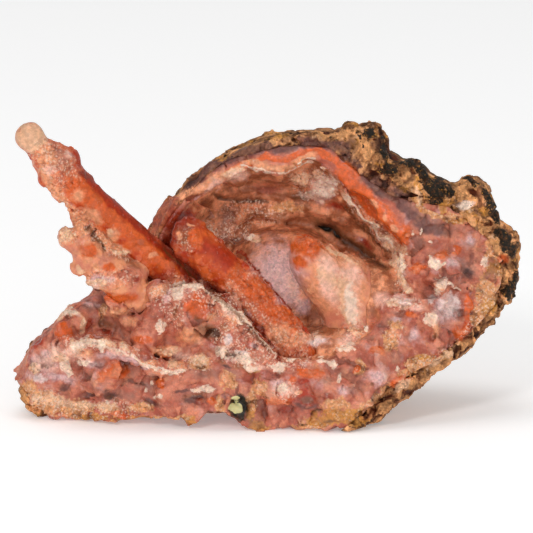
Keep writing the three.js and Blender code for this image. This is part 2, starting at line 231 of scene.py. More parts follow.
# Paint of the stone as ellipses: (column, row, half width, half height), and a turn in degrees
# where one is turned.
PATCHES = {
    "rose": (
        (415, 333, 14, 14), (372, 325, 12, 14), (308, 396, 24, 14), (192, 395, 28, 10),
        (365, 360, 18, 9), (425, 288, 12, 14), (205, 404, 16, 8), (288, 410, 20, 9),
        (455, 300, 8, 18), (130, 318, 18, 10), (85, 366, 22, 9), (455, 335, 16, 14),
        (170, 402, 16, 8), (128, 392, 22, 8), (440, 245, 16, 10), (300, 388, 16, 10),
        (340, 365, 16, 8), (170, 210, 20, 9, -20), (268, 188, 22, 8, 5), (195, 396, 18, 10),
        (160, 306, 12, 14), (124, 275, 20, 8), (200, 402, 18, 8),
    ),
    "mauve": (
        (228, 218, 14, 16), (225, 234, 14, 10), (102, 322, 16, 10, 20), (93, 308, 14, 7),
        (205, 374, 24, 8, 10), (235, 374, 14, 7, 20), (395, 358, 8, 10, -30), (468, 268, 14, 12),
        (395, 313, 9, 3), (120, 395, 24, 7, 10), (155, 376, 8, 5, 30), (375, 190, 18, 5, 40),
        (468, 244, 11, 11), (32, 138, 24, 22), (60, 162, 18, 20, 30), (68, 236, 10, 10),
        (195, 396, 22, 13), (145, 386, 16, 8, 10), (420, 218, 14, 5, 30), (345, 143, 10, 6),
        (290, 150, 14, 4), (318, 318, 10, 12), (350, 388, 12, 8), (325, 378, 9, 6),
        (412, 336, 10, 6), (460, 262, 12, 6, -20),
    ),
    "lavender": (
        (280, 276, 34, 52, -25), (135, 361, 26, 6, 15), (110, 356, 20, 5, 10), (468, 241, 7, 7),
        (452, 264, 10, 10), (46, 364, 22, 14, 15), (60, 378, 24, 7, 5), (166, 296, 6, 9),
        (118, 355, 9, 4), (277, 382, 9, 7), (103, 281, 18, 7, 10), (375, 378, 14, 10),
        (92, 303, 10, 6), (343, 388, 10, 10), (320, 193, 16, 12, -20), (395, 320, 8, 5),
        (95, 363, 14, 5), (50, 352, 12, 6), (252, 345, 9, 4, 30), (246, 318, 8, 10),
        (302, 306, 12, 14), (442, 312, 16, 20, 10), (415, 335, 8, 8),
    ),
    # Some brown patches are painted shade: at the back of the pocket, under its right rim and in the
    # hollow below the crest.
    "brown": (
        (350, 234, 26, 10, 35), (308, 397, 17, 10), (195, 398, 15, 8), (184, 237, 12, 16),
        (276, 196, 20, 4, 5), (108, 325, 12, 6, 10), (240, 366, 14, 6, 20), (213, 332, 12, 9, 20),
        (370, 256, 16, 5, 35), (240, 238, 12, 4), (176, 312, 5, 12), (300, 222, 38, 8, 8),
        (262, 214, 30, 5, 6), (345, 246, 24, 9, 35), (300, 198, 30, 6, 8), (130, 262, 22, 5, 20),
        (225, 364, 12, 4, 20), (350, 208, 14, 5, 30), (400, 390, 18, 4, -35), (225, 328, 8, 8, 30),
    ),
    "purple": (
        (207, 216, 9, 8), (265, 147, 18, 5), (318, 144, 18, 4), (112, 395, 12, 4, 15),
        (66, 387, 10, 4), (305, 404, 18, 6), (228, 367, 9, 3, 20), (467, 272, 8, 8),
        (235, 240, 8, 4), (155, 402, 12, 4, 30), (196, 400, 18, 5), (182, 390, 12, 3),
    ),
    "red": (
        (178, 222, 34, 20, -12), (172, 240, 20, 14, -20), (90, 326, 4, 8), (108, 333, 13, 4, 8),
        (143, 338, 6, 3), (325, 395, 8, 8), (306, 396, 19, 12), (200, 402, 9, 5),
        (470, 330, 5, 8, 30), (285, 410, 16, 6), (137, 280, 4, 6, 20), (335, 206, 16, 8, 15),
        (366, 244, 14, 7, 40), (190, 216, 20, 10, 10),
    ),
    "ember": (
        (222, 256, 32, 15, 48), (200, 244, 12, 13), (300, 392, 12, 8), (63, 333, 6, 10),
        (120, 370, 12, 5, 10), (285, 400, 12, 6), (147, 247, 12, 6, 30), (40, 342, 12, 4, -38),
        (464, 322, 6, 10), (303, 380, 8, 5), (194, 304, 14, 10, 35), (306, 398, 14, 8),
        (92, 250, 10, 5, 10),
    ),
    "ochre": (
        (29, 388, 13, 10, 20), (46, 403, 18, 13, 20), (76, 408, 24, 11, 5), (112, 408, 14, 6, 15),
        (142, 407, 14, 7), (172, 418, 26, 5), (222, 404, 6, 12), (253, 400, 6, 16, -10),
        (259, 386, 11, 9, -30), (230, 381, 10, 9), (200, 362, 12, 9), (488, 292, 16, 18),
        (480, 318, 14, 14, -20), (488, 306, 16, 14, -30), (462, 346, 14, 7, -35),
        (440, 358, 20, 8, -25), (418, 362, 20, 9, -20), (408, 373, 14, 7, -30),
        (385, 392, 16, 8, -30), (370, 402, 18, 7, -15), (335, 403, 14, 8), (350, 414, 26, 7),
        (310, 424, 20, 5), (487, 226, 9, 10), (503, 268, 13, 16), (404, 177, 9, 8, 30),
        (365, 160, 12, 18, -10), (462, 219, 16, 5), (352, 134, 18, 6), (470, 190, 18, 10),
        (390, 340, 10, 12), (392, 325, 8, 6), (358, 368, 7, 9), (282, 143, 16, 4),
        (262, 138, 8, 3), (490, 250, 8, 12), (500, 252, 8, 10), (285, 208, 18, 7),
        (103, 310, 6, 12), (362, 152, 12, 12), (419, 197, 8, 13), (408, 388, 28, 9, -35),
        (380, 408, 24, 8, -30), (440, 366, 18, 6, -35),
    ),
    "gold": (
        (325, 419, 24, 7), (92, 417, 22, 5), (258, 425, 14, 6), (150, 419, 30, 3),
        (320, 420, 22, 6), (352, 420, 18, 5), (419, 196, 6, 16), (443, 206, 5, 10),
        (285, 136, 12, 3), (258, 368, 9, 6), (488, 303, 10, 10), (376, 136, 5, 3),
        (458, 221, 14, 3), (418, 357, 10, 4), (362, 420, 10, 3, -10), (191, 421, 7, 7),
        (484, 212, 7, 5), (225, 155, 8, 3, -35), (125, 417, 14, 5), (340, 412, 30, 6),
        (492, 270, 10, 8), (250, 412, 5, 10),
    ),
    "orange": (
        (80, 186, 20, 8, 25), (90, 250, 14, 9, 15), (125, 228, 14, 10, 45), (140, 244, 20, 10, 35),
        (110, 267, 6, 6), (262, 290, 24, 12, 50), (285, 315, 14, 9, 50), (240, 272, 14, 8, 40),
        (312, 247, 17, 12, 25), (299, 262, 10, 8, 20), (197, 240, 10, 12), (303, 246, 19, 13, 10),
        (122, 298, 20, 8, 6), (112, 297, 9, 6), (143, 338, 12, 7), (66, 332, 10, 13, -10),
        (93, 339, 6, 8), (115, 371, 20, 9, -10), (102, 380, 9, 4), (162, 384, 8, 6),
        (199, 308, 20, 12, 35), (120, 412, 12, 5, 20), (308, 371, 16, 7, 5), (293, 378, 6, 5),
        (280, 398, 18, 7), (410, 314, 10, 4), (440, 256, 9, 6), (455, 250, 6, 6),
        (466, 308, 7, 18, 10), (460, 332, 12, 10), (213, 400, 6, 5), (400, 380, 14, 5, -20),
        (355, 370, 5, 6), (376, 350, 10, 6), (165, 352, 16, 6), (502, 258, 7, 8), (416, 268, 9, 9),
    ),
    "peach": (
        (181, 238, 4.5, 7, 15), (190, 226, 5, 3), (372, 204, 4, 7, -40), (383, 217, 4, 8, -40),
        (394, 229, 4, 6, -40), (160, 290, 11, 9), (190, 336, 16, 12), (165, 350, 20, 7),
        (180, 365, 12, 4), (226, 379, 7, 7), (259, 386, 9, 6), (393, 333, 9, 8), (118, 312, 16, 6),
        (130, 322, 12, 7), (296, 390, 5, 4), (367, 403, 14, 5), (91, 259, 8, 5), (99, 268, 8, 8),
        (328, 262, 14, 14, 30), (318, 268, 12, 8, 40), (80, 197, 10, 9), (95, 218, 14, 9, 40),
        (155, 254, 5, 4), (205, 184, 24, 7, -28), (250, 161, 12, 4), (282, 334, 16, 12, 45),
        (434, 330, 5, 8), (338, 262, 20, 9, 30), (354, 284, 13, 30, -15), (354, 262, 20, 9, 30),
        (300, 340, 16, 12), (120, 248, 14, 6, 30), (85, 232, 7, 7), (232, 318, 10, 7, 40),
        (85, 353, 12, 6), (150, 362, 14, 3, 10), (438, 288, 7, 8), (50, 158, 18, 12, 40),
        (322, 292, 22, 30, -25), (84, 218, 10, 18, 45), (110, 240, 9, 18, 45),
        (214, 318, 8, 7, 30),
    ),
    "cream": (
        (32, 138, 22, 20), (68, 236, 10, 10), (80, 269, 6, 5), (84, 326, 4, 9), (75, 347, 9, 8),
        (108, 343, 12, 5, 10), (126, 345, 8, 5, 40), (36, 368, 8, 7), (60, 400, 22, 8, 15),
        (104, 404, 16, 5, 10), (401, 303, 17, 6), (302, 178, 11, 8), (317, 173, 7, 7),
        (235, 174, 13, 7, -15), (418, 197, 5, 11), (347, 302, 13, 38, -12),
        (328, 278, 12, 18, -25), (397, 256, 9, 13, 20), (170, 350, 14, 5), (174, 362, 7, 5, 30),
        (42, 400, 12, 6, 20), (86, 404, 14, 5), (60, 356, 12, 6), (448, 352, 12, 5, -35),
        (402, 384, 12, 5, -35), (255, 238, 8, 5), (98, 283, 16, 5, 5), (200, 358, 9, 6),
        (112, 232, 4, 5), (434, 362, 9, 5, -20), (60, 315, 8, 7, -30), (345, 346, 10, 4),
        (315, 337, 9, 7), (121, 252, 8, 4, 20), (340, 256, 22, 3, 28),
    ),
    "silver": (
        (403, 301, 12, 5), (316, 341, 12, 5), (447, 306, 13, 16, 15), (228, 340, 7, 9),
        (240, 352, 10, 4), (462, 207, 13, 5), (430, 300, 6, 5), (326, 190, 10, 9, -20),
        (40, 378, 14, 5, 15),
    ),
    "blush": (
        (82, 358, 22, 8, 5), (55, 350, 10, 10), (184, 356, 16, 6), (262, 366, 14, 6),
        (52, 172, 9, 8, 30), (71, 156, 6, 6, 40), (330, 266, 22, 12, 35), (352, 302, 11, 32, -6),
        (328, 290, 11, 24, -20), (350, 274, 18, 14, 20), (315, 340, 20, 9), (48, 362, 18, 14, 15),
        (404, 301, 16, 9), (416, 306, 9, 6), (240, 356, 14, 8, 15), (238, 176, 15, 9, -15),
        (320, 184, 18, 13, -20), (286, 388, 13, 11), (215, 186, 16, 5, -28),
        (232, 312, 8, 12, -40), (178, 292, 10, 8), (62, 312, 10, 5, 10), (292, 285, 9, 14, -20),
        (345, 340, 16, 8), (382, 300, 12, 12), (120, 352, 20, 6, 10), (70, 350, 14, 6),
        (96, 286, 10, 5), (432, 262, 8, 6),
    ),
    # Umber: small dark flecks of the rock, and painted shade in hollows, holes and crevices.
    "umber": (
        (463, 283, 2.4, 2.2), (472, 291, 2.4, 2.2), (437, 347, 4, 2.4), (442, 345, 2.6, 2.4),
        (427, 357, 2.6, 2), (418, 357, 2.6, 2), (365, 417, 4, 3), (380, 409, 6, 2.2, -35),
        (376, 380, 2.4, 2.4), (369, 385, 2.4, 2.4), (412, 389, 8, 2.2, -35), (26, 381, 2.2, 2.2),
        (32, 390, 2.2, 2.2), (40, 402, 2.4, 3.2), (118, 401, 5, 2, 30), (192, 368, 2.6, 2.2),
        (198, 364, 2.6, 2.2), (230, 352, 2.6, 2.2), (240, 354, 2.6, 2.2), (270, 396, 2.6, 2.2),
        (283, 406, 2.2, 2), (168, 256, 1.8, 1.8), (354, 421, 6, 2.2), (444, 361, 6, 2.4, -20),
        (485, 322, 2.6, 3.4), (330, 421, 14, 2.4), (300, 424, 10, 2.2), (206, 332, 17, 9, 35),
        (306, 399, 11, 4.5), (199, 318, 11, 4.5, 35), (328, 228, 12, 5, 15),
        (300, 200, 14, 2.5, 8), (240, 406, 14, 18, 10), (150, 402, 8, 2.5, 20),
        (112, 396, 7, 2.5, 15), (318, 408, 9, 3, -10), (478, 290, 6, 4, 30), (434, 335, 5, 3, 20),
        (378, 145, 5, 16, -12), (400, 172, 8, 7), (454, 205, 6, 3), (466, 190, 8, 4),
        (480, 190, 4, 8, -20), (232, 352, 6, 2.5, 20), (200, 366, 8, 2.5), (350, 137, 7, 3),
        (302, 134, 14, 2.5), (262, 138, 12, 2.5, -5), (238, 146, 12, 3, -25),
    ),
    "white": (
        (72, 312, 10, 5, 10), (162, 325, 7, 8), (67, 366, 4.5, 10), (85, 361, 8, 4, -10),
        (154, 367, 9, 3, 20), (170, 373, 12, 3), (103, 349, 4, 4), (176, 290, 8, 9),
        (195, 287, 10, 6), (226, 305, 7, 5, 45), (240, 318, 9, 6, 50), (223, 352, 10, 6, 10),
        (244, 358, 14, 7, 15), (252, 366, 8, 4), (278, 366, 8, 7), (289, 360, 6, 3),
        (284, 386, 7, 6), (322, 359, 7, 4), (332, 364, 4, 5), (205, 388, 12, 4, -5),
        (196, 391, 6, 3), (430, 318, 8, 9), (440, 283, 8, 8), (436, 292, 5, 5),
        (434, 264, 9, 4, 10), (413, 236, 2, 3), (430, 244, 2, 2), (421, 232, 1.2, 5),
        (484, 262, 4, 8, 10), (463, 207, 10, 4), (323, 188, 17, 12, -25), (310, 197, 8, 6),
        (402, 262, 5, 10), (346, 347, 12, 4), (110, 400, 3, 2), (152, 383, 2.5, 3),
        (159, 396, 4, 3), (146, 391, 2, 3), (250, 236, 7, 3), (396, 370, 2.5, 5, 10),
        (337, 376, 3, 5), (364, 328, 3, 4), (350, 306, 8, 24, -4),
    ),
    "dark": (
        (240, 406, 11, 15, 10), (468, 288, 1.4, 1.4), (476, 296, 1.6, 1.4), (326, 229, 6, 2, 20),
        (361, 140, 1.6, 2.4), (365, 145, 1.8, 1.8), (368, 133, 12, 7, 10), (384, 150, 5, 16, -5),
        (389, 170, 10, 9), (410, 164, 16, 6, 5), (421, 172, 7, 10), (437, 190, 14, 15),
        (449, 192, 4, 9), (470, 182, 10, 3, 20), (486, 200, 5, 14, -15), (494, 215, 4, 14, -10),
        (503, 240, 9, 14, -25), (512, 250, 6, 8), (508, 290, 9, 9, -30), (514, 278, 4, 8),
    ),
    "bead": (
        (237, 408, 7, 5.5), (236, 399, 3.4, 3.6),
    ),
    "druse": (
        (115, 278, 30, 13), (186, 240, 14, 16), (70, 236, 12, 12), (100, 278, 20, 12),
        (170, 295, 20, 18), (176, 312, 10, 20), (308, 243, 14, 6), (350, 330, 14, 12),
        (46, 404, 34, 18, 15), (100, 410, 46, 12), (313, 184, 24, 18), (470, 195, 26, 24),
        (402, 303, 20, 9), (235, 345, 28, 20, 30), (286, 388, 13, 11), (200, 362, 16, 10),
        (392, 335, 12, 14), (250, 212, 34, 14), (232, 232, 20, 12), (70, 345, 12, 12),
    ),
    "smooth": (
        (172, 218, 26, 24, -30), (222, 256, 26, 13, 48), (32, 138, 24, 22), (142, 337, 13, 8),
        (122, 298, 20, 9), (66, 333, 10, 13), (120, 215, 40, 10, 45), (275, 262, 28, 38, -25),
        (375, 292, 20, 16), (200, 310, 20, 13, 30), (335, 295, 26, 40, -15),
    ),
}

# Paint that runs along a line: (half width in pixels, points of the line).
STROKES = {
    "rose": (
        (9, ((152, 238), (158, 220), (166, 205), (180, 196))),
    ),
    "mauve": (
        (4, ((368, 168), (382, 182), (402, 196), (418, 212), (440, 222))),
    ),
    # The first two brown strokes are painted shade, in the groove at the back of the pocket and
    # under its right rim.
    "brown": (
        (4, ((215, 195), (240, 199), (262, 200))),
        (7, ((345, 242), (362, 254), (378, 263))),
        (5, ((180, 193), (200, 172), (222, 154), (240, 144))),
    ),
    "purple": (
        (8, ((188, 186), (206, 171), (225, 159), (250, 150), (290, 146), (325, 145), (342, 148))),
        (9, ((343, 150), (355, 164), (366, 178), (380, 189), (396, 200), (408, 213), (422, 226),
             (444, 231))),
    ),
    # The first three red strokes are painted shade, down the long stalactite's upper right side and
    # in the gaps beside the long and middle stalactites.
    "red": (
        (4, ((84, 172), (104, 190), (130, 216), (150, 234), (176, 262), (190, 280))),
        (6, ((168, 246), (182, 262), (197, 277))),
        (6, ((208, 286), (232, 302), (252, 322), (266, 340), (277, 355))),
        (3, ((236, 250), (262, 275), (290, 308))),
    ),
    "ember": (
        (7, ((92, 184), (115, 206), (140, 232), (165, 256))),
    ),
    "ochre": (
        (4, ((416, 206), (430, 214), (446, 218), (470, 220))),
    ),
    "orange": (
        (11, ((342, 168), (356, 188), (374, 208), (390, 224), (404, 238))),
        (4.5, ((262, 158), (283, 159), (300, 155), (318, 152), (332, 158), (342, 170))),
        (4, ((200, 188), (222, 176), (240, 164), (262, 160))),
        (10, ((72, 184), (100, 207), (130, 234), (165, 264))),
        (10, ((235, 275), (262, 300), (288, 326))),
    ),
    # The second peach stroke, down the long stalactite's lower left side, is a painted highlight on
    # its lit side.
    "peach": (
        (6, ((182, 198), (200, 188), (222, 178), (240, 168))),
        (7, ((44, 172), (54, 190), (68, 208), (78, 224))),
        (6, ((256, 166), (270, 169), (283, 170), (300, 163), (312, 158))),
    ),
    "cream": (
        (3, ((343, 196), (352, 206), (362, 216), (376, 230), (390, 242))),
        (7, ((390, 246), (398, 256), (400, 268))),
        (3, ((400, 270), (402, 282), (408, 290))),
    ),
    "white": (
        (1.2, ((241, 164), (252, 167), (262, 171), (276, 176), (288, 172), (298, 165), (308, 161),
               (316, 160))),
        (2.2, ((344, 198), (354, 208), (364, 219), (378, 233), (390, 245))),
        (3.4, ((176, 287), (186, 284), (198, 287))),
        (1.4, ((198, 287), (212, 295), (226, 303))),
        (2.4, ((226, 303), (240, 313), (250, 324))),
        (1.2, ((250, 324), (262, 340), (274, 355))),
        (2, ((428, 256), (429, 264), (436, 269), (444, 264))),
        (1.6, ((446, 284), (454, 285), (459, 292))),
        (4.5, ((74, 346), (90, 341), (104, 345))),
        (1.6, ((104, 346), (120, 350), (136, 357), (152, 366))),
        (2.4, ((158, 369), (172, 372), (186, 369))),
    ),
    "dark": (
        (1, ((319, 226), (330, 229), (342, 236))),
    ),
    # Umber strokes are painted shade in crevices and grooves, under the pocket's right rim and in
    # the gaps beside the stalactites.
    "umber": (
        (2.2, ((212, 194), (230, 199), (250, 200), (266, 203))),
        (8, ((316, 224), (334, 229), (350, 240), (366, 254), (384, 268))),
        (3.6, ((89, 228), (98, 240), (107, 250))),
        (2, ((166, 248), (180, 264), (194, 279))),
        (4, ((212, 292), (232, 308), (252, 330), (268, 350))),
        (5, ((176, 190), (196, 168), (220, 150), (240, 142))),
        (2, ((344, 206), (360, 224), (376, 238), (388, 254))),
    ),
    "druse": (
        (19, ((48, 154), (58, 166), (68, 178))),
        (7, ((56, 190), (76, 216), (100, 240), (124, 256))),
        (26, ((244, 288), (290, 345))),
        (13, ((172, 285), (200, 290), (226, 312), (250, 336), (270, 354))),
        (7, ((74, 343), (104, 342), (128, 350), (160, 366), (180, 370))),
        (6, ((350, 204), (380, 234), (398, 256), (402, 288))),
        (8, ((490, 290), (462, 345), (420, 366))),
    ),
    "smooth": (
        (11, ((182, 194), (205, 170), (232, 150), (258, 139))),
        (11, ((262, 160), (300, 156), (330, 160), (352, 180), (374, 202), (398, 230))),
    ),
}

# Raised and cut lines: (height in mm, half width in pixels, points of the line).
RIDGES = (
    (1.0, 5, ((340, 190), (352, 206), (362, 216), (376, 230), (390, 244), (399, 258), (400, 272),
              (406, 290))),
    (0.3, 5, ((72, 343), (96, 339), (112, 344), (128, 352), (146, 362))),
    (0.3, 4, ((182, 284), (205, 287), (218, 298), (232, 306), (245, 318), (255, 330), (268, 348),
              (276, 357))),
    (0.9, 6, ((84, 324), (80, 312), (68, 311))),
    (-0.6, 3, ((218, 195), (240, 199), (262, 201), (270, 204))),
    (-0.8, 5, ((318, 226), (334, 230), (350, 241), (366, 254), (382, 266))),
    (0.7, 6, ((222, 190), (250, 194), (280, 198), (304, 206), (330, 216))),
    (0.6, 8, ((228, 210), (258, 213), (290, 216))),
    (-1.0, 4, ((108, 332), (88, 334), (96, 330))),
    (0.8, 5, ((396, 301), (410, 299), (424, 306), (434, 318), (433, 328))),
    (-0.5, 4, ((88, 228), (98, 241), (108, 250))),
    (-2.0, 12, ((284, 127), (312, 126), (336, 125))),
    (-1.5, 8, ((386, 148), (398, 154), (408, 156))),
    (-1.0, 9, ((342, 118), (358, 114), (378, 118))),
    (-1.3, 12, ((14, 356), (24, 342), (44, 322), (62, 306), (84, 294))),
    (-1.5, 14, ((176, 188), (192, 168), (214, 150), (234, 141))),
    (-1.6, 10, ((488, 334), (464, 358), (432, 384), (404, 404))),
    (-2.2, 9, ((429, 165), (440, 170), (452, 176))),
)

# Chips off the front of the base: (column, height in mm).
CHIPS = ((95, 0), (104, 0.4), (125, 0.9), (150, 1.6), (180, 2.2), (188, 0.5), (198, 1.4),
         (206, 4.2), (224, 4.4), (233, 2.8), (248, 0), (300, 0), (345, 0.2), (380, 0.8))

# Paint where the picture doesn't reach, as noise: (size in mm, share left out).
SHELL_ELSEWHERE = {"rose": (7, 0.0), "lavender": (8, 0.25), "orange": (5.5, 0.3),
                   "peach": (4.5, 0.35), "white": (3.6, 0.42), "brown": (9, 0.35),
                   "ochre": (6, 0.45), "red": (6, 0.4), "druse": (6, 0.1)}
ROCK_ELSEWHERE = {"dark": (6, 0.3), "gold": (5, 0.35), "brown": (7, 0.2), "white": (3, 0.55),
                  "druse": (8, 0.0), "ochre": (6, 0.1)}
ROD_ELSEWHERE = {"orange": (6, 0.0), "red": (6, 0.3), "cream": (4, 0.3), "white": (3, 0.45),
                 "druse": (5, 0.15)}


def srgb(red, green, blue):
    """Linear colour of three sRGB bytes."""
    return tuple(((c / 255 + 0.055) / 1.055) ** 2.4 for c in (red, green, blue))


def colour(name, description, *rgb):
    return bpy.props.FloatVectorProperty(name=name, description=description, default=srgb(*rgb),
                                         subtype="COLOR", size=3, min=0, max=1)


def length(name, description, millimetres):
    return bpy.props.FloatProperty(name=name, description=description, default=millimetres * MM,
                                   subtype="DISTANCE", unit="LENGTH", min=0)


class StoneSizes(bpy.types.PropertyGroup):
    mass_cell: length("Mass cell", "Mesh cell of the shell and of the host rock", 0.38)
    rod_cell: length("Rod cell", "Mesh cell of the stalactites", 0.27)
    rock_relief: length("Rock relief", "How far the lumps of the host rock stand out", 0.9)
    crust_relief: length("Crust relief", "How far the white crust stands out", 0.4)
    druse_relief: length("Druse relief", "How far the druse knobs stand out", 0.55)
    lump_relief: length("Lump relief", "How far the clear orange lumps stand out", 0.6)


# Some colours also paint light and shade: umber, brown and red are painted as shade in hollows,
# crevices and gaps, and peach as a highlight down the long stalactite's lit side.
class StoneColours(bpy.types.PropertyGroup):
    pink: colour("Pink", "Broken chalcedony", 200, 122, 96)
    rose: colour("Rose", "Darker broken chalcedony", 166, 84, 64)
    mauve: colour("Mauve", "Grey-pink sugary stone", 158, 108, 92)
    lavender: colour("Lavender", "Sugary lavender lining", 212, 172, 170)
    brown: colour("Brown", "Wall of the pocket", 150, 86, 54)
    purple: colour("Purple", "Purple-brown band", 92, 54, 50)
    red: colour("Red", "Deep translucent chalcedony", 142, 46, 24)
    ember: colour("Ember", "Clear orange-red chalcedony", 164, 48, 18)
    ochre: colour("Ochre", "Ochre rock", 212, 150, 98)
    gold: colour("Gold", "Yellow rock", 190, 128, 54)
    orange: colour("Orange", "Clear orange chalcedony", 202, 90, 38)
    peach: colour("Peach", "Peach chalcedony", 222, 148, 108)
    blush: colour("Blush", "Pale pink druse", 240, 188, 168)
    cream: colour("Cream", "Cream druse", 228, 182, 146)
    silver: colour("Silver", "Grey-white chalcedony", 216, 192, 186)
    white: colour("White", "White crust", 236, 208, 186)
    umber: colour("Umber", "Brown rock", 100, 60, 32)
    black: colour("Black", "Black mineral", 32, 26, 17)
    bead: colour("Bead", "Pale green bead", 206, 198, 142)


# Noise. Each kind takes points, a size in mm and a seed.

@functools.lru_cache
def random_lattice(seed):
    return np.random.default_rng(seed).uniform(-1, 1, (LATTICE,) * 3).astype(np.float32)


@functools.lru_cache
def turn_matrix(seed):
    """A fixed turn that keeps a lattice's axes off the model's."""
    turn, _ = np.linalg.qr(np.random.default_rng(seed + TURN_SEED).normal(size=(3, 3)))
    return turn.astype(np.float32)


def blended(values, low, high, part):
    """Flat values blended between eight cells, from the flat steps to them along each axis."""
    total = 0
    for step_x, share_x in ((low[:, 0], 1 - part[:, 0]), (high[:, 0], part[:, 0])):
        for step_y, share_y in ((low[:, 1], 1 - part[:, 1]), (high[:, 1], part[:, 1])):
            start = step_x + step_y
            a, b = values[start + low[:, 2]], values[start + high[:, 2]]
            total = total + share_x * share_y * (a + (b - a) * part[:, 2])
    return total


def noise(points, size, seed):
    """Smooth noise from -1 to 1 with lumps of the given size in mm."""
    at = (points @ turn_matrix(seed)) / np.float32(size) + np.float32(LATTICE_START + 0.5)
    cell = at.astype(np.int32)
    part = at - cell
    part = part * part * (3 - 2 * part)
    low, high = ((n & (LATTICE - 1)) * LATTICE_STEPS for n in (cell, cell + 1))
    return blended(random_lattice(seed).ravel(), low, high, part)


def layered(points, size, seed, layers=3):
    """Noise at sizes that halve, each layer half as strong."""
    return sum(noise(points, size / 2 ** n, seed + n) / 2 ** n for n in range(layers)) / 1.5


def knobs(points, size, seed):
    """Rounded knobs with sharp valleys between them, 0 in a valley and 1 on a knob."""
    return np.minimum(np.abs(noise(points, size, seed)) * 2.2, 1.0)


def mosaic(points, size, seed):
    """For each point, the nearest of many grains and the way from its middle, in cells."""
    at = (points @ turn_matrix(seed)) / np.float32(size) + np.float32(LATTICE_START)
    low = np.floor(at - 0.5).astype(np.int32)
    nearest = np.full(len(at), np.inf, np.float32)
    owner = np.zeros(len(at), np.int32)
    way = np.zeros_like(at)
    for offset in itertools.product((0, 1), repeat=3):
        cell = low + np.array(offset, np.int32)
        index = ((cell & (LATTICE - 1)) * LATTICE_STEPS).sum(axis=1)
        away = at - cell - np.float32(0.5)
        for axis in range(3):
            away[:, axis] -= GRAIN_STRAY * random_lattice(seed + axis).ravel()[index]
        far = np.einsum("ij,ij->i", away, away)
        closer = far < nearest
        nearest[closer] = far[closer]
        owner[closer] = index[closer]
        way[closer] = away[closer]
    return owner, way


def chips(points, size, seed):
    """Broken facets: every grain of a mosaic is a tilted plane, from about -1 to 1."""
    owner, way = mosaic(points, size, seed)
    tilt = sum(way[:, axis] * random_lattice(seed + 3 + axis).ravel()[owner] for axis in range(3))
    return 1.3 * tilt + 0.35 * random_lattice(seed).ravel()[owner]


def cracks(points, size, seed):
    """1 on thin winding lines, 0 beside them."""
    return 1 - ease(np.abs(layered(points, size, seed, 2)), 0.0, 0.1)


def ease(value, low, high):
    """0 below low, 1 above high, smooth between."""
    part = np.clip((value - low) / (high - low), 0, 1)
    return part * part * (3 - 2 * part)


# Distance fields

def solid_arrays(node):
    """Corners in mm and triangles of a CAD node."""
    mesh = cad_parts[node].data
    corners = np.empty(len(mesh.vertices) * 3, np.float32)
    mesh.vertices.foreach_get("co", corners)
    mesh.calc_loop_triangles()
    triangles = np.empty(len(mesh.loop_triangles) * 3, np.int32)
    mesh.loop_triangles.foreach_get("vertices", triangles)
    return corners.reshape(-1, 3) / MM, triangles.reshape(-1, 3).astype(np.uint32)


def blurred(field, sigma_cells):
    """Gaussian blur of a 3-D array."""
    reach = math.ceil(BLUR_REACH * sigma_cells)
    weights = np.exp(-0.5 * (np.arange(-reach, reach + 1) / sigma_cells) ** 2)
    weights = (weights / weights.sum()).astype(np.float32)
    for axis in range(3):
        ends = [(reach, reach) if a == axis else (0, 0) for a in range(3)]
        padded = np.pad(field, ends, mode="edge")
        total = np.zeros_like(field)
        for n, weight in enumerate(weights):
            piece = [slice(None)] * 3
            piece[axis] = slice(n, n + field.shape[axis])
            total += weight * padded[tuple(piece)]
        field = total
    return field


def joined(a, b, blend):
    """Union of two distance fields with a fillet."""
    near = np.maximum(blend - np.abs(a - b), 0) / blend
    return np.minimum(a, b) - near * near * (blend / 4)


class Grid:
    """A box of cells with its low corner and cell size in mm."""

    def __init__(self, low, high, cell):
        self.low = (np.floor(np.array(low) / cell) * cell).astype(np.float32)
        self.cell = np.float32(cell)
        self.shape = tuple(int(n) for n in np.ceil((np.array(high) - self.low) / cell) + 1)

    def points(self, mask):
        return (self.low + np.argwhere(mask).astype(np.float32) * self.cell).astype(np.float32)

    def sample(self, field, points):
        """Field at any points, blended between cells."""
        at = (points - self.low) / self.cell
        at = np.clip(at, 0, np.array(self.shape, np.float32) - GRID_EDGE)
        cell = at.astype(np.int32)
        steps = np.array([self.shape[1] * self.shape[2], self.shape[2], 1], np.int32)
        return blended(field.ravel(), cell * steps, (cell + 1) * steps, at - cell)

    def resampled(self, field, finer):
        """The field on the cells of another grid, axis by axis."""
        for axis in range(3):
            at = finer.low[axis] + np.arange(finer.shape[axis]) * finer.cell
            at = np.clip((at - self.low[axis]) / self.cell, 0, self.shape[axis] - GRID_EDGE)
            cell = at.astype(int)
            shape = [1, 1, 1]
            shape[axis] = -1
            part = (at - cell).astype(np.float32).reshape(shape)
            field = field.take(cell, axis) * (1 - part) + field.take(cell + 1, axis) * part
        return field


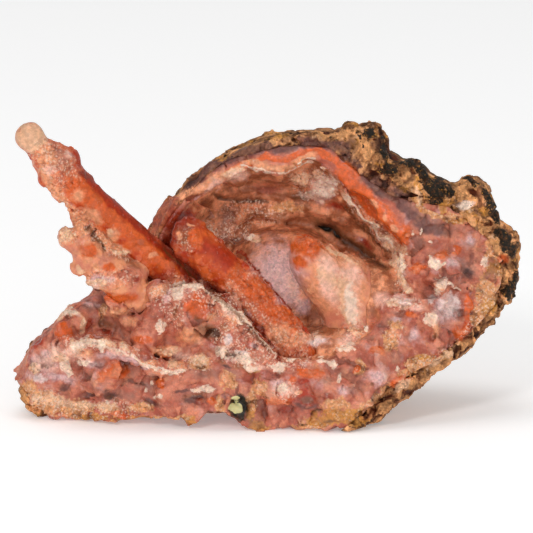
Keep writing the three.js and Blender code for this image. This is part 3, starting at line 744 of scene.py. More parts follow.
class Stone:
    """The joined stone: one smoothed distance field, and one for each node."""

    def __init__(self):
        low, high = (np.array(corner) / MM for corner in CAD_BOX)
        self.grid = Grid(low - FIELD_MARGIN, high + FIELD_MARGIN, FIELD_CELL)
        self.solid = {node: self.distance(node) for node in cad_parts}
        masses = joined(self.solid["host_rock"], self.solid["chalcedony_body"], JOIN)
        masses = blurred(masses, SMOOTH / FIELD_CELL)
        for column, row, radius, depth in FLAP:
            masses = self.with_ball(masses, place_of(column, row, depth), radius * PIXEL)
        seen = self.front_depth(masses)
        for column, row, radius, proud in MASS_LOBES:
            depth = seen[row // DEPTH_STRIDE, column // DEPTH_STRIDE] + (radius - proud) * PIXEL
            masses = self.with_ball(masses, place_of(column, row, depth), radius * PIXEL)
        for column, row, radius, deep in MASS_HOLLOWS:
            depth = seen[row // DEPTH_STRIDE, column // DEPTH_STRIDE] - (radius - deep) * PIXEL
            masses = -self.with_ball(-masses, place_of(column, row, depth), radius * PIXEL)
        self.whole = masses
        for node in RODS:
            rod = blurred(self.solid[node], ROD_SMOOTH / FIELD_CELL) - ROD_REGAIN
            for column, row, radius, towards_viewer in ROD_LOBES[node]:
                depth = depth_of_rod(node, column, row) - towards_viewer * PIXEL
                rod = self.with_ball(rod, place_of(column, row, depth), radius * PIXEL)
            self.solid[node] = rod
            self.whole = joined(self.whole, rod, STUB_JOIN if node == "stalactite_stub" else JOIN)
        self.front = {"masses": self.front_depth(masses), "whole": self.front_depth(self.whole)}

    def distance(self, node):
        """Distance field of a CAD node."""
        corners, triangles = solid_arrays(node)
        grid = vdb.FloatGrid.createLevelSetFromPolygons(
            corners - self.grid.low, triangles=triangles,
            transform=vdb.createLinearTransform(voxelSize=FIELD_CELL),
            halfWidth=FIELD_REACH / FIELD_CELL)
        field = np.empty(self.grid.shape, np.float32)
        grid.copyToArray(field)
        return field

    def with_ball(self, field, middle, radius):
        """Adds a ball to a field."""
        box = []
        axes = []
        for axis in range(3):
            reach = radius + FIELD_REACH
            start = max(0, int((middle[axis] - reach - self.grid.low[axis]) / FIELD_CELL))
            end = max(start + 1, int((middle[axis] + reach - self.grid.low[axis]) / FIELD_CELL))
            end = min(self.grid.shape[axis], end)
            box.append(slice(start, end))
            axes.append(self.grid.low[axis] + np.arange(start, end) * FIELD_CELL - middle[axis])
        far = np.sqrt(axes[0][:, None, None] ** 2 + axes[1][:, None] ** 2 + axes[2] ** 2)
        field = field.copy()
        field[tuple(box)] = joined(field[tuple(box)], (far - radius).astype(np.float32), JOIN)
        return field

    def front_depth(self, field):
        """Depth into the picture of the first surface under every second pixel."""
        pixels = np.arange(0, PICTURE_PIXELS, DEPTH_STRIDE)
        columns, rows = np.meshgrid(pixels, pixels)
        x, height = in_picture(columns.ravel().astype(np.float32), rows.ravel())
        start = np.stack([x, x * 0, x * 0], 1) + height[:, None] * UP_IN_PICTURE
        depth = np.full(len(x), NOTHING_SEEN, np.float32)
        waiting = np.arange(len(x))
        for step in np.arange(*DEPTHS, dtype=np.float32):
            value = self.grid.sample(field, start[waiting] + step * INTO_PICTURE)
            depth[waiting[value < 0]] = step
            waiting = waiting[value >= 0]
        return depth.reshape(columns.shape)

    def behind(self, points, front):
        """How far points lie behind what the picture shows in their place."""
        column, row = pixel_of(points)
        depth = self.front[front]
        column = np.clip(column / DEPTH_STRIDE, 0, depth.shape[1] - 2)
        row = np.clip(row / DEPTH_STRIDE, 0, depth.shape[0] - 2)
        i, j = row.astype(int), column.astype(int)
        a, b = row - i, column - j
        seen = (depth[i, j] * (1 - b) + depth[i, j + 1] * b) * (1 - a) \
            + (depth[i + 1, j] * (1 - b) + depth[i + 1, j + 1] * b) * a
        return points @ INTO_PICTURE - seen

    def share(self, node):
        """Negative where a node is the nearest one."""
        others = functools.reduce(np.minimum, [f for n, f in self.solid.items() if n != node])
        return (self.solid[node] - others) / 2


@functools.lru_cache
def stone():
    return Stone()


@functools.lru_cache
def rod_axis(node):
    """Middle of a rod and its upward direction."""
    corners, _ = solid_arrays(node)
    centre = corners.mean(axis=0)
    way = np.linalg.svd(corners - centre, full_matrices=False)[2][0]
    return centre, way if way[2] > 0 else -way


def depth_of_rod(node, column, row):
    """Depth of a rod's axis beside a place in the picture."""
    x, height = in_picture(column, row)
    centre, way = rod_axis(node)
    flat = np.array([way[0], way @ UP_IN_PICTURE])
    step = (np.array([x, height]) - [centre[0], centre @ UP_IN_PICTURE]) @ flat / (flat @ flat)
    return (centre + step * way) @ INTO_PICTURE


def place_of(column, row, depth):
    """Point in mm at a depth behind a pixel."""
    x, height = in_picture(column, row)
    return np.array([x, 0, 0]) + height * UP_IN_PICTURE + depth * INTO_PICTURE


def in_picture(column, row):
    """x and height in the picture plane, in mm, of a pixel."""
    return (column - CENTRE_COLUMN) * PIXEL, (FOOT_ROW - row) * PIXEL + FOOT_HEIGHT


def pixel_of(points):
    """Column and row of points, as the picture shows them."""
    return (points[:, 0] / PIXEL + CENTRE_COLUMN,
            FOOT_ROW - (points @ UP_IN_PICTURE - FOOT_HEIGHT) / PIXEL)


def line_field(column, row, half_width, line):
    """1 on a line, 0 at half_width from it, less outside."""
    nearest = np.full(len(column), np.inf, np.float32)
    for (x0, y0), (x1, y1) in zip(line, line[1:]):
        right, down = x1 - x0, y1 - y0
        along = ((column - x0) * right + (row - y0) * down) / (right ** 2 + down ** 2)
        along = np.clip(along, 0, 1)
        far = (column - x0 - along * right) ** 2 + (row - y0 - along * down) ** 2
        nearest = np.minimum(nearest, far)
    return 1 - np.sqrt(nearest) / half_width


class Brush:
    """Paint fields at a set of points: 1 in the middle of a patch, 0 at its edge, less outside."""

    def __init__(self, points, front, elsewhere):
        self.points = points
        self.elsewhere = elsewhere
        column, row = pixel_of(points)
        for seed, (pixels, size) in enumerate(WANDER, WANDER_SEED):
            column = column + pixels * noise(points, size, seed)
            row = row + pixels * noise(points, size, seed + len(WANDER))
        self.order = np.argsort(column)
        self.column = column[self.order]
        self.row = row[self.order]
        self.shown = 1 - ease(stone().behind(points, front), *SHOWN_DEPTHS)

    def near(self, low, high):
        """The sorted points between two columns."""
        return slice(*np.searchsorted(self.column, (low, high)))

    def inked(self, half_width, line, reach):
        """The sorted points near a line, and its field there."""
        columns = [column for column, _ in line]
        near = self.near(min(columns) - reach, max(columns) + reach)
        return near, line_field(self.column[near], self.row[near], half_width, line)

    def unsorted(self, values):
        """Values of the sorted points, in the order of the mesh."""
        result = np.empty_like(values)
        result[self.order] = values
        return result

    def field(self, kind):
        """The paint field of one kind: patches, lines, and noise where the picture shows nothing."""
        best = np.full(len(self.points), NO_PAINT, np.float32)
        for column, row, half_width, half_height, *turn in PATCHES[kind]:
            reach = PAINT_REACH * max(half_width, half_height)
            near = self.near(column - reach, column + reach)
            angle = math.radians(sum(turn))
            c, s = math.cos(angle), math.sin(angle)
            across, down = self.column[near] - column, self.row[near] - row
            a = (across * c + down * s) / half_width
            b = (down * c - across * s) / half_height
            best[near] = np.maximum(best[near], 1 - np.sqrt(a * a + b * b))
        for half_width, line in STROKES.get(kind, ()):
            near, inked = self.inked(half_width, line, PAINT_REACH * half_width)
            best[near] = np.maximum(best[near], inked)
        beyond = -1.0
        if kind in self.elsewhere:
            size, left_out = self.elsewhere[kind]
            seed = ELSEWHERE_SEED + sorted(PATCHES).index(kind)
            beyond = ELSEWHERE_STRENGTH * (layered(self.points, size, seed, 2) - left_out)
        return self.unsorted(best) * self.shown + beyond * (1 - self.shown)

    def ridges(self):
        """Height in mm of the raised and cut lines."""
        total = np.zeros(len(self.points), np.float32)
        for height, half_width, line in RIDGES:
            near, inked = self.inked(half_width, line, half_width)
            total[near] += height * ease(inked, 0, 1)
        return self.unsorted(total) * self.shown

    def rough(self):
        """1 on rough stone, less on clear smooth stone."""
        return 1 - SMOOTH_SHARE * ease(self.field("smooth"), 0, 0.5)


# Zones that the relief and the colours share

def face_depth(points):
    """How far a point lies behind the broken front face."""
    foot = np.interp(points[:, 0], *zip(*FACE_FOOT)).astype(np.float32)
    lean = ease(points[:, 2], *FACE_LEAN)
    return points[:, 1] - (foot + (FACE_RIM - foot) * lean)


def hollow_share(points):
    """1 on the walls of the pocket, 0 outside it."""
    a = (points[:, 0] - POCKET_CENTRE[0]) / POCKET_RADII[0]
    b = (points[:, 2] - POCKET_CENTRE[1]) / POCKET_RADII[1]
    inside = ease(1 - np.sqrt(a * a + b * b), *POCKET_EDGE)
    return inside * ease(face_depth(points), *POCKET_START)


def druse_knobs(points, sizes):
    """Height in mm of sugary knobs, small ones on larger ones."""
    return sizes.druse_relief / MM * (knobs(points, 2.0, 31) + 0.6 * knobs(points, 0.95, 33) - 0.7)


def rock_relief(points, sizes):
    """Height in mm of the rock's lumps, pits, seams and black knobs."""
    high = sizes.rock_relief / MM
    brush = Brush(points, "masses", ROCK_ELSEWHERE)
    black = ease(brush.field("dark"), -0.1, 0.3)
    rough = (0.6 * layered(points, 6.0, 11) + 0.6 * (knobs(points, 3.2, 15) - 0.5)
             + 0.5 * chips(points, 3.4, 101) + 0.5 * (knobs(points, 1.3, 17) - 0.5))
    pits = ease(noise(points, 1.7, 19), 0.42, 0.7)
    seams = cracks(points, 5.0, 18)
    black_knobs = 0.6 * black * knobs(points, 2.2, 20)
    relief = high * rough - 0.8 * pits * (1 - black) - 0.5 * seams + black_knobs
    return relief * brush.rough() + brush.ridges()


def shell_relief(points, sizes):
    """Height in mm of the shell's facets, cracks, druse, crust, clear lumps and beads."""
    brush = Brush(points, "masses", SHELL_ELSEWHERE)
    hollow = hollow_share(points)
    crust = np.maximum(brush.field("white"), brush.field("cream"))
    crust = ease(crust + 0.4 * noise(points, 0.9, 23), 0, 0.3)
    lumps = ease(np.maximum(brush.field("orange"), brush.field("peach")), 0, 0.7)
    druse = ease(brush.field("druse"), -0.1, 0.4)
    ochre = ease(brush.field("ochre"), 0, 0.3)
    dark = ease(brush.field("dark"), 0, 0.5)
    waxy = (0.3 * layered(points, 5.5, 25) + 0.8 * chips(points, 5.5, 151)
            + 0.35 * chips(points, SHELL_FACET, FACET_SEED) - 0.25 * cracks(points, 4.5, 27))
    wall = 0.4 * layered(points, 4, 37) + 0.35 * chips(points, 3.0, 131)
    crystals = druse * (1 - 0.4 * hollow) * druse_knobs(points, sizes)
    relief = (1 - hollow) * waxy + hollow * wall + crystals
    crumbs = 0.6 + 0.9 * knobs(points, 1.1, 35)
    relief += crust * sizes.crust_relief / MM * crumbs * (1 - 0.5 * hollow)
    relief += lumps * (sizes.lump_relief / MM) * (1 - hollow)
    relief += ochre * 0.7 * (knobs(points, 1.2, 39) - 0.5 + 0.5 * noise(points, 0.9, 40))
    relief += 1.3 * np.maximum(brush.field("bead"), 0) ** 0.5
    return relief * brush.rough() - 0.9 * dark + brush.ridges()


def rod_relief(points, sizes):
    """Height in mm of a stalactite's facets, druse and crust."""
    brush = Brush(points, "whole", ROD_ELSEWHERE)
    druse = ease(brush.field("druse"), -0.1, 0.3)
    crust = ease(np.maximum(brush.field("white"), brush.field("cream")), 0, 0.3)
    relief = 0.18 * noise(points, 3.4, 47) + 0.22 * chips(points, 2.6, 141)
    crystals = druse_knobs(points, sizes) + 0.15 * noise(points, 0.7, 45)
    relief += druse * (crystals + 0.2 * chips(points, 1.2, 161)) + 0.2 * crust
    return relief * brush.rough() + brush.ridges()


# Pieces

def mesh_of(name, corners, quads):
    """A mesh of corners in mm and four-sided faces."""
    mesh = bpy.data.meshes.new(name)
    mesh.vertices.add(len(corners))
    mesh.vertices.foreach_set("co", np.ascontiguousarray(corners * MM, np.float32).ravel())
    mesh.loops.add(quads.size)
    mesh.loops.foreach_set("vertex_index", quads.ravel().astype(np.int32))
    mesh.polygons.add(len(quads))
    mesh.polygons.foreach_set("loop_start", np.arange(0, quads.size, 4, dtype=np.int32))
    mesh.update(calc_edges=True)
    mesh.validate()
    return mesh


def largest_part(corners, quads):
    """The biggest connected part of a mesh, without loose chips."""
    label = np.arange(len(corners))
    pairs = np.concatenate([quads[:, [0, 1]], quads[:, [1, 2]], quads[:, [2, 3]]])
    while True:
        low = np.minimum(label[pairs[:, 0]], label[pairs[:, 1]])
        fresh = label.copy()
        np.minimum.at(fresh, pairs[:, 0], low)
        np.minimum.at(fresh, pairs[:, 1], low)
        fresh = fresh[fresh]
        fresh = fresh[fresh]
        if np.array_equal(fresh, label):
            break
        label = fresh
    names, counts = np.unique(label, return_counts=True)
    keep = label == names[counts.argmax()]
    index = np.cumsum(keep) - 1
    return corners[keep], index[quads[keep[quads[:, 0]]]]


def build_piece(node, cell, relief):
    """Corners in mm and faces of a node's share of the stone, and which corners are hidden."""
    stuff = stone()
    low, high = (np.array(corner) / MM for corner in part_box(node))
    grid = Grid(low - PIECE_MARGIN, high + PIECE_MARGIN, cell)
    whole = stuff.grid.resampled(stuff.whole, grid)
    share = stuff.grid.resampled(stuff.share(node), grid)
    near = (np.abs(whole) < BAND) & (share < 1)
    whole[near] -= relief(grid.points(near))
    field = np.maximum(np.maximum(whole, share - OVERLAP), base_cut(grid))
    field[[0, -1]] = field[:, [0, -1]] = field[:, :, [0, -1]] = cell
    volume = vdb.FloatGrid()
    volume.copyFromArray(np.clip(field, -3 * cell, 3 * cell).astype(np.float32))
    corners, quads = volume.convertToQuads(isovalue=0.0)
    corners = corners * grid.cell + grid.low
    corners, quads = largest_part(corners.astype(np.float32), quads.astype(np.int64))
    hidden = grid.sample(whole, corners) < HIDDEN_DEPTH
    return corners, quads[:, ::-1], hidden


def base_cut(grid):
    """Field of the space under the base: flat, with chips broken off below the front face."""
    x, y = np.meshgrid(grid.low[0] + np.arange(grid.shape[0]) * grid.cell,
                       grid.low[1] + np.arange(grid.shape[1]) * grid.cell, indexing="ij")
    floor = np.stack([x.ravel(), y.ravel(), 0 * x.ravel()], 1).astype(np.float32)
    chip = np.interp(floor[:, 0] / PIXEL + CENTRE_COLUMN, *zip(*CHIPS))
    reach = face_depth(floor) - CHIP_REACH * chip
    chip = chip + CHIP_NOISE * ease(layered(floor, 3.0, 90), 0.0, 0.5)
    chip = chip * (1 - ease(reach, *CHIP_END))
    height = grid.low[2] + np.arange(grid.shape[2]) * grid.cell
    return (chip.reshape(x.shape)[:, :, None] - height).astype(np.float32)


def thinned(mesh, hidden):
    """Collapses faces, those that other pieces hide first, until the mesh is small enough."""
    holder = bpy.data.objects.new("holder", mesh)
    bpy.context.scene.collection.objects.link(holder)
    group = holder.vertex_groups.new(name="hidden")
    group.add(list(range(len(mesh.vertices))), SHOWN_WEIGHT, "REPLACE")
    group.add(np.flatnonzero(hidden).tolist(), 1.0, "REPLACE")
    collapse = holder.modifiers.new("collapse", "DECIMATE")
    collapse.vertex_group = group.name
    collapse.vertex_group_factor = WEIGHT_STRENGTH
    collapse.use_collapse_triangulate = True
    triangles = 2 * len(mesh.polygons)
    target = min(MOST_TRIANGLES, triangles - SAVED_TRIANGLES * hidden.sum())
    collapse.ratio = target / triangles
    result = bpy.data.meshes.new_from_object(
        holder.evaluated_get(bpy.context.evaluated_depsgraph_get()))
    bpy.data.objects.remove(holder)
    return result


def finished_piece(name, node, cell, relief, fields, material):
    """Builds a piece with its paint attributes and material, riding on the frame."""
    corners, quads, hidden = build_piece(node, cell, relief)
    mesh = thinned(mesh_of(name + "_mesh", corners, quads), hidden)
    piece = bpy.data.objects.new(name, mesh)
    bpy.context.scene.collection.objects.link(piece)
    corners = np.empty(len(mesh.vertices) * 3, np.float32)
    mesh.vertices.foreach_get("co", corners)
    corners = corners.reshape(-1, 3) / np.float32(MM)
    values = dict(fields(corners), relief=relief(corners))
    for label, value in values.items():
        mesh.attributes.new(label, "FLOAT", "POINT")
        mesh.attributes[label].data.foreach_set("value", np.ascontiguousarray(value, np.float32))
    mesh.materials.clear()
    mesh.materials.append(material)
    mesh.shade_smooth()
    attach(piece, "root")
    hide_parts(node)


# Materials

# Kinds of paint from the lowest up: how soft the edge is, how ragged, and the size of its notches
# in mm.
EDGES = {
    "rose": (0.8, 0.3, 3.0), "mauve": (0.8, 0.4, 2.0), "lavender": (0.7, 0.3, 2.0),
    "brown": (0.7, 0.35, 2.2), "purple": (0.6, 0.25, 1.4), "red": (0.8, 0.25, 2.5),
    "ember": (0.7, 0.2, 2.5), "ochre": (0.35, 0.6, 1.5), "gold": (0.4, 0.7, 1.2),
    "orange": (0.5, 0.3, 2.0), "peach": (0.6, 0.4, 1.6), "cream": (0.4, 0.5, 1.0),
    "blush": (0.8, 0.25, 1.6), "silver": (0.6, 0.5, 1.2), "white": (0.35, 0.6, 0.9),
    "umber": (0.8, 0.3, 1.2),
}
# The same for paint that a material lays on by itself.
BLACK_EDGES = (0.4, 0.4, 1.0)
ROCK_BLACK_EDGES = (0.25, 0.7, 1.6)
BEAD_EDGES = (0.1, 0.05, 1.0)
DRUSE_EDGES = (0.4, 0.4, 1.4)

# Some paint lets the stone below show.
COVER = {"rose": 0.8, "mauve": 0.7, "lavender": 0.85, "purple": 0.85, "brown": 0.85,
         "cream": 0.85, "blush": 0.85, "umber": 0.8, "silver": 0.85, "white": 0.85,
         "ochre": 0.85, "gold": 0.8}

# Every paint is mottled, from a darker to a lighter tone, by a noise of this size in mm, detail and
# roughness, between these two of its values.
DARKER, LIGHTER = 0.8, 1.14
MOTTLES = (1.2, 5.0, 0.65)
MOTTLE_EDGES = (0.36, 0.64)

# Sugary stone: sizes in mm of its grains and of those painted white as glints, and the middle of a
# grain's tint.
GRAIN = 0.45
GLINT_GRAIN = 0.36
MIDDLE_TINT = 0.45

# Painted light: the pocket's walls are painted this much brighter, for light that comes through the
# thin shell.
POCKET_PAINTED_LIGHT = 1.22

# Quartz: how far red, green and blue light goes below the surface, and its refraction.
LIGHT_REACH = (1.0, 0.4, 0.22)
REFRACTION = 1.54


class Paint:
    """A material and short ways to add its nodes."""

    def __init__(self, name):
        self.material = bpy.data.materials.new(name)
        self.material.use_nodes = True
        self.tree = self.material.node_tree
        self.shader = self.tree.nodes["Principled BSDF"]
        self.place = self.tree.nodes.new("ShaderNodeTexCoord").outputs["Object"]

    def put(self, socket, value):
        """Links a socket, or sets it to a number, vector or colour."""
        if isinstance(value, bpy.types.NodeSocket):
            self.tree.links.new(value, socket)
        elif hasattr(value, "__len__"):
            socket.default_value = (*value, 1)[:len(socket.default_value)]
        else:
            socket.default_value = value

    def texture(self, kind, size):
        """A texture with features of a size in mm."""
        node = self.tree.nodes.new(kind)
        self.put(node.inputs["Vector"], self.place)
        node.inputs["Scale"].default_value = 1 / (size * MM)
        return node

    def noise(self, size, detail=3.0, roughness=0.55):
        node = self.texture("ShaderNodeTexNoise", size)
        node.inputs["Detail"].default_value = detail
        node.inputs["Roughness"].default_value = roughness
        return node.outputs["Fac"]

    def grains(self, size):
        """A random colour for each grain."""
        return self.texture("ShaderNodeTexVoronoi", size).outputs["Color"]

    def field(self, name):
        node = self.tree.nodes.new("ShaderNodeAttribute")
        node.attribute_name = name
        return node.outputs["Fac"]

    def worked_out(self, kind, operation, values):
        """The result of a math node, with the values on its sockets in order."""
        node = self.tree.nodes.new(kind)
        node.operation = operation
        for socket, value in zip([s for s in node.inputs if s.enabled], values):
            self.put(socket, value)
        return node.outputs[0]

    def math(self, operation, *values):
        return self.worked_out("ShaderNodeMath", operation, values)

    def vector(self, operation, *values):
        return self.worked_out("ShaderNodeVectorMath", operation, values)

    def most(self, *values):
        """The largest of several values."""
        return functools.reduce(functools.partial(self.math, "MAXIMUM"), values)

    def step(self, value, low, high, to_low=0.0, to_high=1.0):
        node = self.tree.nodes.new("ShaderNodeMapRange")
        node.interpolation_type = "SMOOTHSTEP"
        for name, number in (("Value", value), ("From Min", low), ("From Max", high),
                             ("To Min", to_low), ("To Max", to_high)):
            self.put(node.inputs[name], number)
        return node.outputs["Result"]

    def mix(self, share, below, above, blend="MIX"):
        node = self.tree.nodes.new("ShaderNodeMix")
        node.data_type = "RGBA"
        node.blend_type = blend
        self.put(node.inputs[0], share)
        self.put(node.inputs[6], below)
        self.put(node.inputs[7], above)
        return node.outputs[2]

    def times(self, body, factor):
        return self.mix(1.0, body, factor, "MULTIPLY")

    def mottled(self, below, above, noise, low, high, most=1.0):
        """One colour over another in patches of noise, given its size, detail and roughness."""
        return self.mix(self.step(self.noise(*noise), low, high, 0.0, most), below, above)

    def patch(self, name, edge, ragged, size):
        """Share of a paint field, with its edge made ragged by noise."""
        rough = self.math("MULTIPLY_ADD", self.noise(size, 4.0, 0.6), ragged * 3, -ragged * 1.5)
        return self.step(self.math("ADD", self.field(name), rough), 0.0, edge)

    def painted(self, body, shades, bright=1.0):
        """Lays the kinds of paint over a body colour, lowest first."""
        shares = {}
        for kind, edges in EDGES.items():
            shares[kind] = self.patch(kind, *edges)
            darker = shade(shades, kind, DARKER * bright)
            lighter = shade(shades, kind, LIGHTER * bright)
            tone = self.mottled(darker, lighter, MOTTLES, *MOTTLE_EDGES)
            body = self.mix(self.math("MULTIPLY", shares[kind], COVER.get(kind, 1)), body, tone)
        return body, shares

    def shaded(self, body, shades, sugar, dark_share, depth=0.6, grit=0.35):
        """Paints shade into hollows and a highlight onto bumps, and adds facets, grains, painted
        glints and dark specks.
        """
        relief = self.field("relief")
        # Painted shade: hollows of the relief are painted darker with umber, as strongly as depth.
        body = self.mix(self.step(relief, -0.1, -0.9, 0.0, depth), body, shades.umber, "MULTIPLY")
        # Painted highlight: raised bumps are painted lighter with cream.
        body = self.mix(self.step(relief, 0.3, 1.2, 0.0, 0.2), body, shades.cream)
        facet = self.step(self.noise(5.0), 0.4, 0.6, 0.2, 1.0)
        facet = self.math("MULTIPLY", self.field("facet"), facet)
        body = self.mix(self.step(facet, 0.3, 0.7, 0.0, 0.15), body, shades.peach)
        body = self.mix(self.step(facet, -0.3, -0.7, 0.0, 0.2), body, shades.mauve)
        body = self.times(body, self.math("MULTIPLY_ADD", facet, 0.08, 1.0))
        strength = self.step(sugar, 0.0, 1.0, grit, 0.65)
        grain = self.math("SUBTRACT", self.grains(GRAIN), MIDDLE_TINT)
        body = self.times(body, self.math("MULTIPLY_ADD", grain, strength, 1.0))
        # Painted glints: some grains of sugary stone are painted white.
        glint = self.step(self.grains(GLINT_GRAIN), 0.68, 0.74)
        glint = self.math("MULTIPLY", glint, self.step(sugar, 0.0, 1.0, 0.0, 0.5))
        body = self.mix(glint, body, shades.white)
        frost = self.step(self.noise(0.9, 3.0, 0.7), 0.6, 0.68)
        frost = self.math("MULTIPLY", frost, self.step(sugar, 0.0, 1.0, 0.1, 0.45))
        body = self.mix(frost, body, shades.white)
        pits = self.step(self.noise(1.3, 3.0, 0.7), 0.35, 0.29, 0.0, dark_share)
        return self.mix(pits, body, shades.umber)

    def faceted(self, share, tilt, size=0.5):
        """The surface normal, turned a little its own way in each grain."""
        normal = self.tree.nodes.new("ShaderNodeNewGeometry").outputs["Normal"]
        turn = self.vector("SUBTRACT", self.grains(size), (0.5, 0.5, 0.5))
        turn = self.vector("SCALE", turn, self.math("MULTIPLY", share, tilt))
        return self.vector("NORMALIZE", self.vector("ADD", normal, turn))

    def bump(self, height, distance, strength, below):
        """The normal below, tilted by a height over a distance in mm."""
        node = self.tree.nodes.new("ShaderNodeBump")
        self.put(node.inputs["Height"], height)
        self.put(node.inputs["Strength"], strength)
        node.inputs["Distance"].default_value = distance * MM
        self.put(node.inputs["Normal"], below)
        return node.outputs["Normal"]

    def finish(self, body, roughness, normal, glow, depth_mm, shine=0.35):
        """Connects the shader, with light that glows below the surface to a depth in mm."""
        inputs = self.shader.inputs
        self.put(inputs["Base Color"], body)
        self.put(inputs["Roughness"], roughness)
        self.put(inputs["Normal"], normal)
        inputs["Subsurface Weight"].default_value = glow
        inputs["Subsurface Radius"].default_value = LIGHT_REACH
        inputs["Subsurface Scale"].default_value = depth_mm * MM
        inputs["IOR"].default_value = REFRACTION
        inputs["Specular IOR Level"].default_value = shine
        return self.material


def shade(shades, kind, factor):
    """A colour of the stone, made brighter or darker."""
    return tuple(min(1, c * factor) for c in getattr(shades, kind))


def shell_paint(shades):
    """Broken pink chalcedony with bands, clear lumps, crust and a sugary lining."""
    p = Paint("broken chalcedony")
    body = p.mottled(shades.rose, shades.pink, (4.5, 5.0, 0.6), 0.4, 0.6)
    body = p.mottled(body, shades.peach, (2.6, 5.0, 0.65), 0.54, 0.7, 0.6)
    body = p.mottled(body, shades.lavender, (3.2, 4.0), 0.56, 0.68, 0.35)
    wall = p.mottled(shades.brown, shades.peach, (3.0, 5.0, 0.6), 0.4, 0.62)
    body = p.mix(p.field("hollow"), body, wall)
    body, shares = p.painted(body, shades)
    crust = p.most(shares["cream"], shares["ochre"], shares["white"])
    sugar = p.most(p.step(p.field("druse"), -0.2, 0.3),
                   p.math("MULTIPLY", shares["lavender"], 0.5), p.math("MULTIPLY", crust, 0.6))
    clear = p.most(shares["orange"], shares["red"], shares["ember"])
    body = p.shaded(body, shades, sugar, p.step(crust, 0.2, 1.0, 0.35, 0.75))
    # Painted light: the pocket's walls are painted brighter.
    body = p.times(body, p.step(p.field("hollow"), 0.0, 1.0, 1.0, POCKET_PAINTED_LIGHT))
    body = p.mix(p.patch("dark", *BLACK_EDGES), body, shades.black)
    body = p.mix(p.patch("bead", *BEAD_EDGES), body, shades.bead)
    rough = p.math("SUBTRACT", p.step(crust, 0.0, 1.0, 0.38, 0.6), p.math("MULTIPLY", clear, 0.2))
    normal = p.faceted(p.step(sugar, 0.0, 1.0, 0.2, 0.6), tilt=0.9, size=0.45)
    normal = p.bump(p.noise(0.8, 5.0, 0.7), 0.25, p.step(clear, 0.0, 1.0, 0.8, 0.3), normal)
    return p.finish(body, rough, normal, glow=0.25, depth_mm=1.6)


def rock_paint(shades):
    """Weathered rock: ochre with gold, brown and black patches."""
    p = Paint("weathered host rock")
    body = p.mottled(shades.umber, shades.ochre, (4.0, 6.0, 0.65), 0.44, 0.56)
    body = p.mottled(body, shades.gold, (2.4, 5.0, 0.6), 0.54, 0.62, 0.8)
    body = p.mottled(body, shades.cream, (2.8, 5.0, 0.65), 0.6, 0.66, 0.7)
    body, shares = p.painted(body, shades)
    clear = p.most(shares["red"], shares["purple"], shares["rose"])
    # Painted shade: the rock's hollows are painted darker with umber at full strength.
    body = p.shaded(body, shades, sugar=0.0, dark_share=0.8, depth=1.0, grit=0.7)
    tone = p.math("MULTIPLY_ADD", p.field("facet"), p.step(clear, 0.0, 1.0, 0.35, 0.1), 1.0)
    body = p.times(body, tone)
    black = p.patch("dark", *ROCK_BLACK_EDGES)
    fleck = p.mottled(shades.black, shades.umber, (1.0, 4.0, 0.7), 0.5, 0.62, 0.7)
    fleck = p.mottled(fleck, shades.gold, (0.8, 3.0, 0.7), 0.6, 0.7)
    body = p.mix(black, body, fleck)
    specks = p.math("MULTIPLY", p.step(p.noise(1.2, 4.0, 0.7), 0.61, 0.66, 0.0, 0.9),
                    p.step(shares["ochre"], 0.0, 1.0, 1.0, 0.3))
    body = p.mix(specks, body, shades.black)
    normal = p.faceted(p.step(clear, 0.0, 1.0, 0.8, 0.15), tilt=0.8)
    normal = p.bump(p.noise(0.9, 5.0, 0.75), 0.5, p.step(clear, 0.0, 1.0, 1.0, 0.3), normal)
    rough = p.math("SUBTRACT", p.step(black, 0.0, 1.0, 0.8, 0.55), p.math("MULTIPLY", clear, 0.3))
    return p.finish(body, rough, normal, glow=0.05, depth_mm=0.8, shine=0.2)


def rod_paint(shades, name, core, other):
    """Orange stalactite with crust patches, druse and a sugary root."""
    p = Paint(name)
    body = p.mottled(core, other, (3.5, 5.0), 0.38, 0.62)
    druse = p.patch("druse", *DRUSE_EDGES)
    sugary = p.mottled(shades.pink, shades.peach, MOTTLES, *MOTTLE_EDGES)
    body = p.mix(p.math("MULTIPLY", druse, 0.55), body, sugary)
    body, shares = p.painted(body, shades, bright=0.93)
    clear = p.most(shares["orange"], shares["red"], shares["ember"])
    sugar = p.math("MULTIPLY", druse, p.step(clear, 0.0, 1.0, 0.7, 0.3))
    body = p.shaded(body, shades, sugar, dark_share=0.15, grit=0.12)
    body = p.mix(p.patch("dark", *BLACK_EDGES), body, shades.umber)
    rough = p.step(p.most(druse, shares["cream"]), 0.0, 1.0, 0.26, 0.42)
    normal = p.faceted(p.step(sugar, 0.0, 1.0, 0.08, 0.55), tilt=0.9, size=0.4)
    normal = p.bump(p.noise(0.7, 4.0, 0.7), 0.2, p.step(sugar, 0.0, 1.0, 0.25, 0.8), normal)
    return p.finish(body, rough, normal, glow=0.35, depth_mm=2.2, shine=0.2)


# Paint fields of each piece

def painted_fields(points, front, elsewhere, facet_size):
    """Every kind of paint, and a tone of its own for each broken facet."""
    brush = Brush(points, front, elsewhere)
    owner, _ = mosaic(points, facet_size, FACET_SEED)
    values = {kind: brush.field(kind) for kind in PATCHES}
    return dict(values, facet=random_lattice(FACET_SEED).ravel()[owner] * brush.rough())


def shell_fields(points):
    values = painted_fields(points, "masses", SHELL_ELSEWHERE, SHELL_FACET)
    return dict(values, hollow=hollow_share(points))


def rock_fields(points):
    return painted_fields(points, "masses", ROCK_ELSEWHERE, ROCK_FACET)


def rod_fields(points):
    return painted_fields(points, "whole", ROD_ELSEWHERE, ROD_FACET)


# Operators

def settings(context):
    return context.scene.stone_sizes, context.scene.stone_colours


class STONE_OT_rock(bpy.types.Operator):
    """Build the rind of host rock"""

    bl_idname = "stone.rock"
    bl_label = "Host rock"

    def execute(self, context):
        sizes, shades = settings(context)
        finished_piece("weathered_host_rock", "host_rock", sizes.mass_cell / MM,
                       functools.partial(rock_relief, sizes=sizes), rock_fields,
                       rock_paint(shades))
        return {"FINISHED"}


